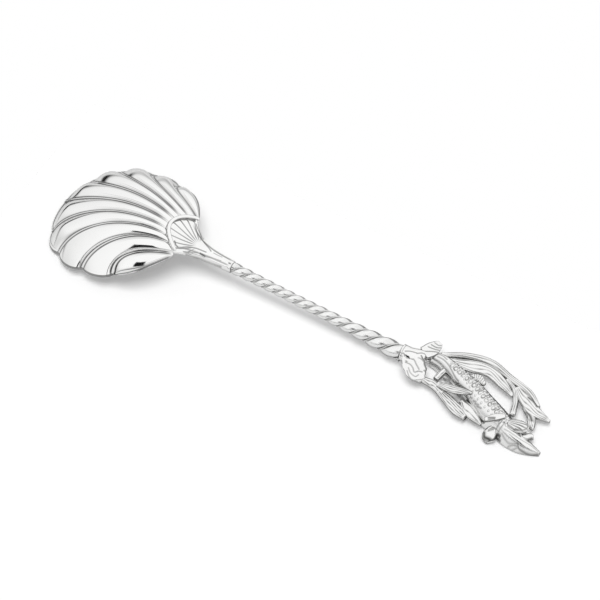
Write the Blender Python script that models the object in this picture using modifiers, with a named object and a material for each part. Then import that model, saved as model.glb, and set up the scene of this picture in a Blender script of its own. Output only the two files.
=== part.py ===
"""Caviar spoon in polished silver, lying face down on a table.

A fluted shell bowl is joined by a fan-shaped heel to a stem twisted from two half-round
strands with a fine wire in each groove. The stem ends in a cast finial: a sturgeon among
fronds of kelp.

Lengths are in metres. +X runs from the tip of the bowl to the snout of the sturgeon, +Y is
the far side and +Z points up from the table. The heel corners of the bowl lie at X = 0
while the spoon is modelled; the finished spoon is moved so that its origin is the middle
of its footprint.
"""

import math

import bmesh
import bpy
import numpy as np

MM = 0.001

# Seams
SEAM = 0.3 * MM  # solder seam between neighbouring pieces

# Shell bowl
BOWL_LENGTH = 38.2 * MM  # heel corners to the rim line at the tip
BOWL_WIDTH = 36.6 * MM  # across the widest pair of rim notches
BOWL_WALL = 1.1 * MM
EDGE_WALL = 0.3 * MM  # where the outer lobes run out
RIM_CENTRE = 20.2 * MM  # heel corners to the widest line of the rim
RIM_SQUARENESS = 2.3  # exponent of the rim's superellipse
RIM_REST = 0.9 * MM  # height of the rim line at the tip
RIM_RISE = 7.4 * MM  # how much higher the rim would be at the heel corners
TIP_CURL = 1.4 * MM  # extra lift of the middle notch
RIM_BULGE = 0.9 * MM  # how far a lobe swells past its notches
OUTER_EDGE = 0.6 * MM  # how far the outer edge stands off the heel corner and last notch
LOBE_FULLNESS = 0.15  # crown of a lobe as a share of its width
NOTCH_ANGLES = (0, 30, 60, 88, 112, 117)  # degrees round the rim centre, from the tip

# Grooves of the shell, one entry for each groove from the middle one outwards, and one for
# the outer edge: heading in plan (degrees off the axis), pull in plan and climb at the
# heel, and the same at the rim.
GROOVE_HEADINGS = (0, 8, 12, 16, 33, 67)
GROOVE_PULLS = (40, 41, 39, 31, 23, 14)
GROOVE_CLIMBS = (17, 19, 18.5, 14.5, 7.5, 2)
RIM_HEADINGS = (0, 80, 90, 93, 113, 10)
RIM_PULLS = (7, 14, 16, 14, 13, 16)
RIM_FALLS = (9, 13.5, 16.5, 15.5, 13.5, 6.5)

# Heel
HEEL_WIDTH = 12.4 * MM  # across the heel corners
HEEL_HEIGHT = 10.6 * MM  # heel corners above the table
HEEL_CROWN = 3.0 * MM  # rise of the border arc over its corners
HEEL_BOW = 4.9 * MM  # reach of the border arc into the bowl
FAN_THICKNESS = 1.4 * MM
FAN_RAYS = 9
FAN_RAY_DEPTH = 0.3 * MM
BORDER_RADIUS = 0.5 * MM  # bead along the border arc

# Neck and rope stem
NECK_LENGTH = 14.3 * MM
NECK_FLARE = 3.6 * MM  # decay length of the neck's flare into the heel
NECK_HEIGHT = 7.0 * MM  # axis above the table where the rope starts
STEM_LENGTH = 51.0 * MM
STEM_END_HEIGHT = 3.8 * MM  # axis above the table where the rope ends
ROPE_NECK_RADIUS = 1.6 * MM
ROPE_WAIST_PULL = 1.0 * MM  # middle control radius of the rope's taper
ROPE_END_RADIUS = 2.5 * MM
ROPE_HELIX = 55.0  # lay of the strands, degrees off the axis
STRAND_SQUARENESS = 2.4  # exponent of a strand's half-round section
STRAND_BREADTH = 0.87  # half breadth of a strand as a share of the rope's radius
WIRE_RADIUS = 0.2 * MM

# Finial, measured from the end of the rope and from the table. The sturgeon's stations
# run from its tail to its snout: along, across, half width and height of the back.
STURGEON = (
    (7.0, 3.6, 1.4, 4.4),
    (10.0, 3.8, 1.6, 4.9),
    (13.0, 3.0, 1.8, 5.2),
    (16.5, 1.5, 2.3, 5.6),
    (21.0, -0.3, 2.7, 6.0),
    (26.0, -2.8, 3.1, 6.2),
    (30.5, -5.1, 3.5, 6.1),
    (35.5, -7.5, 3.5, 5.4),
    (39.0, -8.6, 2.7, 4.1),
    (42.0, -8.9, 1.7, 2.7),
    (45.0, -8.8, 0.5, 1.1),
)
SCUTES = 10  # bony plates along the back
SCUTE_RISE = 0.45 * MM
SCUTE_SPAN = (0.16, 0.72)  # share of the body that carries them

# Sleeve between rope and tail: along, across, height of its axis and radius.
SLEEVE = ((0.0, 0.0, 3.8, 2.5), (2.2, 0.2, 3.7, 2.2), (4.6, 1.6, 3.4, 1.8), (6.6, 3.2, 2.8, 1.3))

# Leaves of the finial: along, across, height of the middle plane and half width of each
# station from root to tip, then thickness and cup (rise of the edges over the middle).
LEAVES = {
    "tail_lobe_near": (
        ((2.2, 0.9, 4.4, 1.8), (4.0, -1.6, 3.9, 2.9), (6.6, -3.9, 3.0, 2.7), (8.6, -5.0, 2.6, 1.0)),
        1.4,
        0.6,
    ),
    "tail_lobe_far": (
        ((5.2, 2.2, 4.0, 1.9), (6.4, 4.1, 4.2, 2.1), (7.2, 5.9, 4.4, 1.5), (7.6, 6.9, 4.5, 0.7)),
        1.3,
        0.5,
    ),
    "anal_fin": (
        ((12.6, 2.4, 2.8, 0.8), (11.8, 0.2, 2.7, 0.9), (11.3, -2.4, 2.4, 0.8)),
        1.6,
        0.0,
    ),
    "dorsal_fin": (
        ((19.6, 2.0, 4.2, 0.8), (21.6, 2.2, 4.5, 1.1), (23.6, 1.3, 4.3, 0.5)),
        1.2,
        0.0,
    ),
    "pectoral_fin_upper": (
        ((33.4, -6.0, 5.8, 0.6), (31.4, -7.5, 5.8, 1.1), (29.2, -9.0, 5.0, 0.7)),
        1.3,
        0.0,
    ),
    "pectoral_fin_near": (
        ((31.8, -8.0, 2.0, 1.4), (31.6, -10.6, 1.8, 1.9), (31.7, -12.0, 1.6, 1.1)),
        2.6,
        0.0,
    ),
    "pectoral_fin_far": (
        ((36.8, -7.4, 2.6, 1.4), (40.0, -6.4, 2.6, 1.3), (41.8, -5.8, 2.2, 0.5)),
        2.0,
        0.0,
    ),
    "kelp_stem_near": (
        ((8.4, -4.1, 2.4, 0.9), (11.7, -4.2, 2.4, 1.2), (15.1, -5.4, 2.4, 1.1)),
        1.8,
        0.0,
    ),
    "kelp_flank_blade": (
        ((12.8, -4.2, 3.6, 0.7), (16.5, -4.1, 4.0, 1.2), (20.0, -3.7, 4.6, 1.0), (22.3, -3.3, 5.0, 0.3)),
        1.3,
        0.0,
    ),
    "kelp_round_frond": (
        ((13.9, -5.3, 2.3, 1.0), (17.5, -6.7, 2.3, 1.5), (20.8, -8.1, 2.2, 1.7), (23.6, -9.1, 2.0, 0.9)),
        1.9,
        0.3,
    ),
    "kelp_pointed_leaf": (
        ((20.6, -5.2, 2.4, 0.8), (24.2, -7.2, 2.6, 1.7), (28.2, -9.0, 2.1, 0.3)),
        2.0,
        0.0,
    ),
    "kelp_outer_strand": (
        (
            (8.8, 5.0, 2.8, 0.6),
            (15.2, 8.2, 2.8, 0.9),
            (21.6, 9.3, 2.8, 1.0),
            (27.8, 7.6, 2.7, 0.9),
            (34.0, 6.1, 2.5, 0.9),
            (38.4, 3.4, 2.2, 0.5),
        ),
        1.7,
        0.0,
    ),
    "kelp_hanging_blade": (
        (
            (12.2, 4.6, 2.5, 0.6),
            (17.4, 6.4, 2.5, 1.3),
            (22.2, 7.1, 2.5, 1.4),
            (26.8, 5.1, 2.4, 1.4),
            (31.0, 3.1, 2.1, 0.4),
        ),
        1.5,
        0.2,
    ),
    "kelp_inner_strand": (
        ((27.4, 6.8, 2.4, 0.6), (30.4, 5.0, 2.4, 0.7), (32.4, 2.0, 2.4, 0.8), (33.8, -2.4, 2.4, 0.8)),
        1.5,
        0.0,
    ),
    "kelp_end_leaf": (
        ((30.8, 5.6, 2.4, 0.8), (34.9, 3.1, 2.4, 1.7), (38.8, 1.3, 2.2, 1.6), (42.9, 0.9, 1.8, 0.4)),
        1.7,
        0.3,
    ),
    "kelp_lower_leaf": (
        ((35.2, 1.6, 2.2, 0.7), (38.0, -0.2, 2.2, 1.1), (39.4, -2.4, 2.0, 1.0), (40.2, -3.4, 1.8, 0.4)),
        1.5,
        0.0,
    ),
}

# Pieces that each leaf is cut clear of, in the order in which they were laid.
SEATS = {
    "tail_lobe_near": ("sturgeon_body",),
    "tail_lobe_far": ("sturgeon_body", "tail_lobe_near"),
    "stem_sleeve": ("sturgeon_body", "tail_lobe_near", "tail_lobe_far"),
    "anal_fin": ("sturgeon_body",),
    "dorsal_fin": ("sturgeon_body",),
    "head_rosette": ("sturgeon_body",),
    "pectoral_fin_upper": ("sturgeon_body",),
    "pectoral_fin_near": ("sturgeon_body",),
    "pectoral_fin_far": ("sturgeon_body", "head_rosette"),
    "kelp_stem_near": ("tail_lobe_near", "anal_fin"),
    "kelp_flank_blade": ("sturgeon_body", "kelp_stem_near"),
    "kelp_round_frond": ("kelp_stem_near", "kelp_flank_blade"),
    "kelp_pointed_leaf": ("sturgeon_body", "kelp_round_frond", "kelp_flank_blade"),
    "kelp_outer_strand": ("sturgeon_body", "tail_lobe_far"),
    "kelp_hanging_blade": ("sturgeon_body", "kelp_outer_strand"),
    "kelp_inner_strand": ("sturgeon_body", "kelp_outer_strand", "kelp_hanging_blade"),
    "kelp_end_leaf": ("kelp_outer_strand", "kelp_inner_strand"),
    "kelp_lower_leaf": ("sturgeon_body", "head_rosette", "kelp_inner_strand", "kelp_end_leaf"),
}

# Rosette on the skull: along, across, height, then its three half sizes.
ROSETTE_PLACE = (37.2, -5.8, 4.9)
ROSETTE_SIZE = (3.1, 2.0, 1.2)

# Fineness of the surfaces
BOWL_ROWS = 10
LOBE_COLUMNS = 6
ROPE_STEPS = 72
STRAND_SIDES = 10
LEAF_SECTIONS = 11
LEAF_SIDES = 8

SILVER = (0.92, 0.92, 0.91, 1.0)
CAST_SILVER = (0.88, 0.88, 0.87, 1.0)


def clear_scene():
    """Remove every object of the open scene."""
    for obj in list(bpy.data.objects):
        bpy.data.objects.remove(obj, do_unlink=True)


def collection(name):
    """New collection under the scene's own."""
    made = bpy.data.collections.new(name)
    bpy.context.scene.collection.children.link(made)
    return made


def frame(name, group, parent=None):
    """Empty that carries pieces."""
    empty = bpy.data.objects.new(name, None)
    empty.parent = parent
    group.objects.link(empty)
    return empty


def silver(name, colour, roughness):
    """Polished silver for one piece."""
    material = bpy.data.materials.new(name + "_silver")
    material.use_nodes = True
    shader = material.node_tree.nodes["Principled BSDF"]
    shader.inputs["Base Color"].default_value = colour
    shader.inputs["Metallic"].default_value = 1.0
    shader.inputs["Roughness"].default_value = roughness
    return material


def place(name, data, group, parent, colour=SILVER, roughness=0.12):
    """Object with its own material, linked and parented."""
    obj = bpy.data.objects.new(name, data)
    obj.parent = parent
    data.materials.append(silver(name, colour, roughness))
    group.objects.link(obj)
    return obj


def spline(stations, shares):
    """Catmull-Rom curve through equally spaced stations, read at shares from 0 to 1."""
    points = np.asarray(stations, float)
    ends = np.vstack([2 * points[0] - points[1], points, 2 * points[-1] - points[-2]])
    place_at = np.asarray(shares, float) * (len(points) - 1)
    span = np.minimum(place_at.astype(int), len(points) - 2)
    t = (place_at - span)[:, None]
    before, start, end, after = (ends[span + step] for step in range(4))
    return start + 0.5 * t * (
        end - before
        + t * (2 * before - 5 * start + 4 * end - after + t * (3 * (start - end) + after - before))
    )


def outward(mesh, merge=0.0):
    """Turn the faces of a closed mesh outwards and shade it smooth."""
    work = bmesh.new()
    work.from_mesh(mesh)
    if merge:
        bmesh.ops.remove_doubles(work, verts=work.verts, dist=merge)
    bmesh.ops.recalc_face_normals(work, faces=work.faces)
    work.to_mesh(mesh)
    work.free()
    mesh.shade_smooth()
    mesh.set_sharp_from_angle(angle=math.radians(50))


def grid_quads(rows, columns, wrap):
    """Corner numbers of the quads of a point grid, closed round its columns if asked."""
    row, column = np.mgrid[0 : rows - 1, 0 : columns if wrap else columns - 1]
    after = (column + 1) % columns
    quads = np.stack(
        [
            row * columns + column,
            row * columns + after,
            (row + 1) * columns + after,
            (row + 1) * columns + column,
        ],
        axis=-1,
    )
    return quads.reshape(-1, 4).tolist()


def loft(name, rings):
    """Closed mesh skinned over rings of equal counts, with flat ends."""
    count, around = rings.shape[:2]
    faces = grid_quads(count, around, True)
    faces.append(list(range(around)))
    faces.append(list(range((count - 1) * around, count * around)))
    mesh = bpy.data.meshes.new(name)
    mesh.from_pydata(rings.reshape(-1, 3).tolist(), [], faces)
    outward(mesh)
    return mesh


def heel_arc(share):
    """Border between bowl and heel; share runs from -1 to 1 across the heel."""
    share = np.asarray(share, float)
    lift = np.sqrt(np.maximum(1 - share**2, 0))
    return np.stack(
        [
            -HEEL_BOW * (1 - share**2),
            share * HEEL_WIDTH / 2,
            HEEL_HEIGHT + HEEL_CROWN * lift,
        ],
        axis=-1,
    )


def rim_line(angles):
    """Line through the rim notches: a superellipse in plan that rises to the heel."""
    cos, sin = np.cos(angles), np.sin(angles)
    power = 2 / RIM_SQUARENESS
    along = -RIM_CENTRE - (BOWL_LENGTH - RIM_CENTRE) * np.sign(cos) * np.abs(cos) ** power
    curl = TIP_CURL * np.maximum(np.cos(3 * np.minimum(angles, math.pi / 6)), 0) ** 2
    height = RIM_REST + RIM_RISE * (along + BOWL_LENGTH) / BOWL_LENGTH + curl
    return np.stack([along, BOWL_WIDTH / 2 * np.abs(sin) ** power, height], axis=-1)


def bearings(headings, pulls, climbs):
    """Tangent vectors from headings off the axis, pulls in plan and climbs."""
    heading = np.radians(headings)
    pull = np.array(pulls) * MM
    return np.stack([-pull * np.cos(heading), pull * np.sin(heading), np.array(climbs) * MM], axis=-1)


def shell_half():
    """Outer skin of the +Y half of the bowl, as rows from heel to rim, and its wall.

    Groove lines are cubic curves from the border arc to the rim notches. Between two
    grooves the skin swells along its normal into a lobe, and past the notches at the rim.
    The wall is never thicker than a third of a lobe's width, and narrow lobes are flatter.
    """
    grooves = len(NOTCH_ANGLES)
    lobes = grooves - 1
    across = np.linspace(0, lobes, lobes * LOBE_COLUMNS + 1)
    shares = across / lobes
    swell = 1 - np.abs(2 * (across % 1) - 1) ** 2.2

    spread = np.minimum(np.arange(grooves) / (grooves - 2), 1)
    heel_shares = 1.25 * spread - 0.25 * spread**2
    roots = heel_arc(heel_shares)
    roots[-1] += (0, OUTER_EDGE, -OUTER_EDGE)
    leave = bearings(GROOVE_HEADINGS, GROOVE_PULLS, GROOVE_CLIMBS)
    arrive = bearings(RIM_HEADINGS, RIM_PULLS, np.negative(RIM_FALLS))
    notches = rim_line(np.radians(NOTCH_ANGLES))
    notches[-1, 1] += OUTER_EDGE

    root, start, notch, end = (spline(line, shares) for line in (roots, leave, notches, arrive))
    full_lobe = (across < lobes - 1)[:, None]
    bulge = RIM_BULGE * swell[:, None] * full_lobe
    rim = notch + bulge * end / np.linalg.norm(end, axis=1, keepdims=True)

    s = np.linspace(0, 1, BOWL_ROWS)[:, None, None]
    skin = (
        root * (1 + 2 * s) * (1 - s) ** 2
        + start * s * (1 - s) ** 2
        + rim * s**2 * (3 - 2 * s)
        + end * s**2 * (s - 1)
    )
    normal = np.cross(np.gradient(skin, axis=1), np.gradient(skin, axis=0))
    normal /= np.linalg.norm(normal, axis=2, keepdims=True)
    normal[:, 0, 1] = 0
    groove_lines = skin[:, ::LOBE_COLUMNS]
    widths = np.linalg.norm(np.diff(groove_lines, axis=1), axis=2)
    lobe = np.minimum(across.astype(int), lobes - 1)
    fullness = np.minimum(LOBE_FULLNESS, widths / (12 * BOWL_WALL))
    crown = (fullness * widths)[:, lobe] * swell
    left = np.maximum(np.ceil(across).astype(int) - 1, 0)
    wall = np.clip(np.minimum(widths[:, left], widths[:, lobe]) / 3, EDGE_WALL, BOWL_WALL)
    return skin + normal * crown[:, :, None], wall


def build_bowl(group, parent):
    """Shell bowl: half skin, mirrored and given its wall."""
    skin, thickness = shell_half()
    mesh = bpy.data.meshes.new("shell_bowl")
    mesh.from_pydata(skin.reshape(-1, 3).tolist(), [], grid_quads(*skin.shape[:2], False))
    mesh.shade_smooth()
    bowl = place("shell_bowl", mesh, group, parent, roughness=0.06)
    share = bowl.vertex_groups.new(name="wall")
    for number, depth in enumerate(thickness.ravel()):
        share.add([number], depth / BOWL_WALL, "REPLACE")
    mirror = bowl.modifiers.new("both_halves", "MIRROR")
    mirror.use_axis = (False, True, False)
    mirror.merge_threshold = 0.01 * MM
    wall = bowl.modifiers.new("wall", "SOLIDIFY")
    wall.thickness = BOWL_WALL
    wall.offset = -1
    wall.vertex_group = share.name
    return bowl


def cut_away(piece, cutter, cutters):
    """Subtract a hidden cutter from a piece."""
    cutter.hide_render = True
    cutter.display_type = "WIRE"
    if cutter.name not in cutters.objects:
        cutters.objects.link(cutter)
    cut = piece.modifiers.new(cutter.name, "BOOLEAN")
    cut.operation = "DIFFERENCE"
    cut.solver = "EXACT"
    cut.object = cutter


def trim_heel(bowl, cutters):
    """Cut the bowl back from the heel: an upright prism behind the border arc."""
    share = np.linspace(-1, 1, 25)
    line = heel_arc(share)
    slope = 4 * HEEL_BOW * share / HEEL_WIDTH
    line[:, 0] -= SEAM * np.sqrt(1 + slope**2)
    line[:, 2] = 0
    ends = [(line[0, 0], BOWL_WIDTH, 0), (NECK_LENGTH, BOWL_WIDTH, 0)]
    ends += [(x, -y, z) for x, y, z in reversed(ends)]
    base = np.vstack([line, ends])
    top = base + (0, 0, 2 * (HEEL_HEIGHT + HEEL_CROWN))
    mesh = loft("heel_clearance", np.stack([base, top]))
    cutter = bpy.data.objects.new("heel_clearance", mesh)
    cutter.parent = bowl.parent
    cut_away(bowl, cutter, cutters)


def build_heel(group, parent):
    """Fluted fan that narrows from the border arc into the round neck."""
    rays = np.linspace(-0.5, 0.5, FAN_RAYS * 4 + 1) * math.pi
    under = np.linspace(0.5, -0.5, 9)[1:-1] * math.pi
    angles = np.concatenate([rays, under])
    top = np.arange(len(angles)) < len(rays)
    flute = np.where(top, 0.5 - 0.5 * np.cos((angles + math.pi / 2) * 2 * FAN_RAYS), 0)

    along = NECK_LENGTH * np.linspace(0, 1, 13)[:, None] ** 1.6
    flare = np.exp(-along / NECK_FLARE)
    flat = (1 - along / NECK_LENGTH) * flare
    half = ROPE_NECK_RADIUS + (HEEL_WIDTH / 2 - ROPE_NECK_RADIUS) * flare
    edge = NECK_HEIGHT + (HEEL_HEIGHT - NECK_HEIGHT) * flare
    rise = ROPE_NECK_RADIUS + (HEEL_CROWN - ROPE_NECK_RADIUS) * flare
    drop = ROPE_NECK_RADIUS - (ROPE_NECK_RADIUS + HEEL_CROWN - FAN_THICKNESS) * flat
    across = np.sin(angles)
    height = np.where(top, rise, -drop) * np.cos(angles) - FAN_RAY_DEPTH * flute * flat
    bow = HEEL_BOW * flat * (1 - across**2)
    rings = np.stack([along - bow, half * across, edge + height], axis=-1)
    return place("heel_fan", loft("heel_fan", rings), group, parent, roughness=0.1)


def tube(name, points, radii, group, parent, sides=1):
    """Round wire along points, as a bevelled curve with closed ends."""
    curve = bpy.data.curves.new(name, "CURVE")
    curve.dimensions = "3D"
    curve.bevel_depth = 1.0
    curve.bevel_resolution = sides
    curve.use_fill_caps = True
    line = curve.splines.new("POLY")
    line.points.add(len(points) - 1)
    for point, position, radius in zip(line.points, points, radii):
        point.co = (*position, 1.0)
        point.radius = radius
    return place(name, curve, group, parent)


def build_border(group, parent):
    """Bead that covers the seam between bowl and heel."""
    angles = np.linspace(-0.46, 0.46, 25) * math.pi
    points = heel_arc(np.sin(angles))
    points[:, 0] += BORDER_RADIUS
    points[:, 2] += BORDER_RADIUS + SEAM
    return tube("heel_border", points, np.full(len(points), BORDER_RADIUS), group, parent, 2)


def rope_axis():
    """Points, radii and twist angles along the rope."""
    share = np.linspace(0, 1, ROPE_STEPS)
    along = NECK_LENGTH + SEAM + STEM_LENGTH * share
    height = NECK_HEIGHT + (STEM_END_HEIGHT - NECK_HEIGHT) * share
    points = np.stack([along, np.zeros_like(along), height], axis=-1)
    radius = (
        ROPE_NECK_RADIUS * (1 - share) ** 2
        + 2 * ROPE_WAIST_PULL * share * (1 - share)
        + ROPE_END_RADIUS * share**2
    )
    rate = math.tan(math.radians(ROPE_HELIX)) / radius
    step = np.diff(along) * (rate[1:] + rate[:-1]) / 2
    twist = np.concatenate([[0], np.cumsum(step)])
    return points, radius, twist


def around_axis(radius, angle):
    """Offsets from the rope's axis, the angle being zero on top and growing to +Y."""
    return np.stack([np.zeros_like(radius * angle), radius * np.sin(angle), radius * np.cos(angle)], axis=-1)


def build_rope(group, parent):
    """Two half-round strands and the two fine wires laid in their grooves."""
    points, radius, twist = rope_axis()
    turn = 2 * math.pi * np.arange(STRAND_SIDES) / STRAND_SIDES
    power = 2 / STRAND_SQUARENESS
    depth = (radius[:, None] - SEAM / 2) / 2
    out = SEAM / 2 + depth * (1 + np.sign(np.cos(turn)) * np.abs(np.cos(turn)) ** power)
    beside = STRAND_BREADTH * radius[:, None] * np.sign(np.sin(turn)) * np.abs(np.sin(turn)) ** power
    reach = np.hypot(out, beside)
    bearing = np.arctan2(beside, out)
    for name, phase in (("rope_strand_a", 0.0), ("rope_strand_b", math.pi)):
        offset = around_axis(reach, bearing + twist[:, None] + phase)
        place(name, loft(name, points[:, None] + offset), group, parent, roughness=0.1)
    groove = STRAND_BREADTH * radius
    for name, phase in (("rope_wire_a", math.pi / 2), ("rope_wire_b", -math.pi / 2)):
        route = points + around_axis(groove, twist + phase)
        tube(name, route, np.full(len(route), WIRE_RADIUS), group, parent)


def rings_beside(path, widths, outlines):
    """Rings across a path, each outline given as (sideways, upwards) offsets."""
    heading = np.gradient(path[:, :2], axis=0)
    heading /= np.linalg.norm(heading, axis=1, keepdims=True)
    side = np.stack([-heading[:, 1], heading[:, 0], np.zeros(len(path))], axis=-1)
    up = np.array([0, 0, 1.0])
    return path[:, None] + side[:, None] * (widths * outlines[0])[..., None] + up * outlines[1][..., None]


def build_sturgeon(group, parent):
    """Body with a flat belly, a rounded back and a row of bony plates along its ridge."""
    shares = np.linspace(0, 1, 4 * SCUTES + 1)
    along, across, half, height = (spline(STURGEON, shares) * MM).T
    path = np.stack([along, across, np.zeros_like(along)], axis=-1)
    low, high = SCUTE_SPAN
    row = np.clip((shares - low) / (high - low), 0, 1)
    plate = SCUTE_RISE * np.sin(math.pi * row) ** 0.5 * np.abs(np.sin(math.pi * SCUTES * row))
    angles = np.linspace(0, math.pi, 13)
    sideways = np.concatenate([np.cos(angles), [-0.8, 0.8]])[None]
    upright = np.concatenate([0.22 + 0.78 * np.sin(angles), [0, 0]])[None]
    ridge = np.maximum(1 - np.abs(sideways) / 0.3, 0) * (upright > 0.5)
    heights = height[:, None] * upright + plate[:, None] * ridge
    rings = rings_beside(path, half[:, None], (sideways, heights))
    mesh = loft("sturgeon_body", rings)
    return place("sturgeon_body", mesh, group, parent, CAST_SILVER, 0.16)


def build_sleeve(group, parent):
    """Smooth sleeve that takes the rope into the tail."""
    stations = spline(SLEEVE, np.linspace(0, 1, 9)) * MM
    turn = 2 * math.pi * np.arange(14) / 14
    widths = stations[:, 3:]
    rings = rings_beside(stations[:, :3], widths, (np.cos(turn)[None], widths * np.sin(turn)))
    return place("stem_sleeve", loft("stem_sleeve", rings), group, parent, roughness=0.1)


def build_leaf(name, group, parent):
    """Frond or fin: a lens section swept along its stations."""
    stations, thickness, cup = LEAVES[name]
    line = spline(stations, np.linspace(0, 1, LEAF_SECTIONS)) * MM
    turn = 2 * math.pi * np.arange(LEAF_SIDES) / LEAF_SIDES
    widths = line[:, 3:]
    body = thickness / 2 * MM * np.minimum(widths / (0.5 * widths.max()), 1) ** 0.5
    rise = body * np.sin(turn) + cup * MM * np.cos(turn) ** 2
    rings = rings_beside(line[:, :3], widths, (np.cos(turn)[None], rise))
    return place(name, loft(name, rings), group, parent, CAST_SILVER, 0.16)


def build_rosette(group, parent):
    """Rayed plate on the skull, half sunk in its seat."""
    work = bmesh.new()
    bmesh.ops.create_uvsphere(work, u_segments=18, v_segments=8, radius=1.0)
    bmesh.ops.scale(work, vec=np.array(ROSETTE_SIZE) * MM, verts=work.verts)
    mesh = bpy.data.meshes.new("head_rosette")
    work.to_mesh(mesh)
    work.free()
    mesh.shade_smooth()
    rosette = place("head_rosette", mesh, group, parent, CAST_SILVER, 0.16)
    rosette.location = np.array(ROSETTE_PLACE) * MM
    rosette.rotation_euler = (0, 0, math.radians(-20))
    return rosette


def seat(piece, carrier, cutters):
    """Cut a piece clear of its carrier, with a solder seam between them."""
    name = carrier.name + "_clearance"
    cutter = cutters.objects.get(name)
    if cutter is None:
        cutter = bpy.data.objects.new(name, carrier.data.copy())
        cutter.parent = carrier.parent
        cutter.location = carrier.location
        cutter.rotation_euler = carrier.rotation_euler
        grow = cutter.modifiers.new("seam", "DISPLACE")
        grow.strength = SEAM
        grow.mid_level = 0
    cut_away(piece, cutter, cutters)


def build_finial(group, cutters, parent):
    """Sturgeon, sleeve, fins and kelp, each seated on the pieces laid before it."""
    pieces = {}
    pieces["sturgeon_body"] = build_sturgeon(group, parent)
    pieces["stem_sleeve"] = build_sleeve(group, parent)
    for name in LEAVES:
        pieces[name] = build_leaf(name, group, parent)
    pieces["head_rosette"] = build_rosette(group, parent)
    for name, carriers in SEATS.items():
        for carrier in carriers:
            seat(pieces[name], pieces[carrier], cutters)


def bounds(objects):
    """Lowest and highest corner of evaluated objects, in the frame that carries them."""
    bpy.context.view_layer.update()
    graph = bpy.context.evaluated_depsgraph_get()
    corners = []
    for obj in objects:
        shown = obj.evaluated_get(graph)
        corners += [shown.matrix_world @ vertex.co for vertex in shown.to_mesh().vertices]
        shown.to_mesh_clear()
    corners = np.array(corners)
    return corners.min(axis=0), corners.max(axis=0)


def main():
    clear_scene()
    group = collection("caviar_spoon")
    cutters = collection("caviar_spoon_cutters")
    spoon = frame("spoon_frame", group)
    bowl = build_bowl(group, spoon)
    trim_heel(bowl, cutters)
    build_heel(group, spoon)
    build_border(group, spoon)
    build_rope(group, spoon)

    finial = frame("finial_frame", group, spoon)
    table = bounds([bowl])[0][2]
    finial.location = (NECK_LENGTH + STEM_LENGTH + 2 * SEAM, 0, table)
    build_finial(group, cutters, finial)

    pieces = [obj for obj in group.objects if obj.type != "EMPTY"]
    low, high = bounds(pieces)
    spoon.location = (-(low[0] + high[0]) / 2, -(low[1] + high[1]) / 2, -low[2])


main()
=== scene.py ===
"""Caviar spoon in polished silver, lying face down: its surfaces, finishes and studio.

Every surface is a grid of points worked out from a formula, in metres, in the frame of the
solids: +X from the tip of the bowl to the snout of the sturgeon, +Y to the far side, +Z up
from the table. Dark lines are tarnish left in chased grooves. Painted shade under parts,
painted dark outlines along rims and far sides and painted reflection lines on the bowl
are added to it, and all of it is kept in one point attribute.
"""

from __future__ import annotations

import logging
import math
from dataclasses import dataclass
from enum import Enum
from typing import Any, Callable, Sequence

import bmesh
import bpy
import numpy as np
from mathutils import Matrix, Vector

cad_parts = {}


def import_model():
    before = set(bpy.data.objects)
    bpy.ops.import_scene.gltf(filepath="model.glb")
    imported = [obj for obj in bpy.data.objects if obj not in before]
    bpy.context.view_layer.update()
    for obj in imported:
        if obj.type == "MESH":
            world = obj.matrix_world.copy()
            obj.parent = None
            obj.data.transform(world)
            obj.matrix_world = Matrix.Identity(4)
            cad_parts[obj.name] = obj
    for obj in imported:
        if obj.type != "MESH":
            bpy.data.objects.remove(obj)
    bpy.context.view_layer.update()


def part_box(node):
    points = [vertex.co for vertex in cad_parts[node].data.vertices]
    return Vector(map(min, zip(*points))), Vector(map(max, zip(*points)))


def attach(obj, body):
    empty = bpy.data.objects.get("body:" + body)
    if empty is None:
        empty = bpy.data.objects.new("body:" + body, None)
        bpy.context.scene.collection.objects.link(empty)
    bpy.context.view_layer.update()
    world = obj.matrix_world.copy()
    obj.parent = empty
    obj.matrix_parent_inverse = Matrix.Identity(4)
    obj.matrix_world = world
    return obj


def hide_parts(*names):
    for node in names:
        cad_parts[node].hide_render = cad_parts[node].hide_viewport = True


LOG = logging.getLogger("caviar_spoon")
MM = 0.001
UP = np.array([0, 0, 1.0])
MERGE = 1e-7
STROKE_STEPS = 6
Array = np.ndarray
Range = tuple[float, float]
Colour = tuple[float, float, float, float]
SceneObject = bpy.types.Object


# Curves and marks


def spline(stations: Sequence[Sequence[float]], shares: Array) -> Array:
    """Catmull-Rom curve through equally spaced stations.

    Args:
        stations: points, or rows of any numbers, to pass through.
        shares: places along the curve, from 0 to 1.

    Returns:
        One row for each share.
    """
    points = np.asarray(stations, float)
    ends = np.vstack([2 * points[0] - points[1], points, 2 * points[-1] - points[-2]])
    place = np.asarray(shares, float) * (len(points) - 1)
    span = np.minimum(place.astype(int), len(points) - 2)
    t = (place - span)[:, None]
    before, start, end, after = (ends[span + step] for step in range(4))
    bend = 2 * before - 5 * start + 4 * end - after + t * (3 * (start - end) + after - before)
    return start + 0.5 * t * (end - before + t * bend)


def unit(vectors: Array) -> Array:
    """Vectors along the last axis, made one long."""
    return vectors / np.maximum(np.linalg.norm(vectors, axis=-1, keepdims=True), 1e-12)


def ramp(value: Array, low: float, high: float) -> Array:
    """Smooth step: 0 below low, 1 above high, 3t^2 - 2t^3 between them."""
    t = np.clip((value - low) / (high - low), 0, 1)
    return t * t * (3 - 2 * t)


def mark(distance: Array, width: Array | float) -> Array:
    """Bell of a groove: 1 on its line, falling as exp(-(distance / width)^2)."""
    return np.exp(-((distance / width) ** 2))


def nearest(phase: Array) -> Array:
    """Distance from a phase to the nearest whole number."""
    return np.abs(phase - np.round(phase))


def beside(path: Array) -> Array:
    """Level vectors square to a path, to its left."""
    heading = unit(np.gradient(path[:, :2], axis=0))
    return np.stack([-heading[:, 1], heading[:, 0], np.zeros(len(path))], axis=-1)


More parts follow.
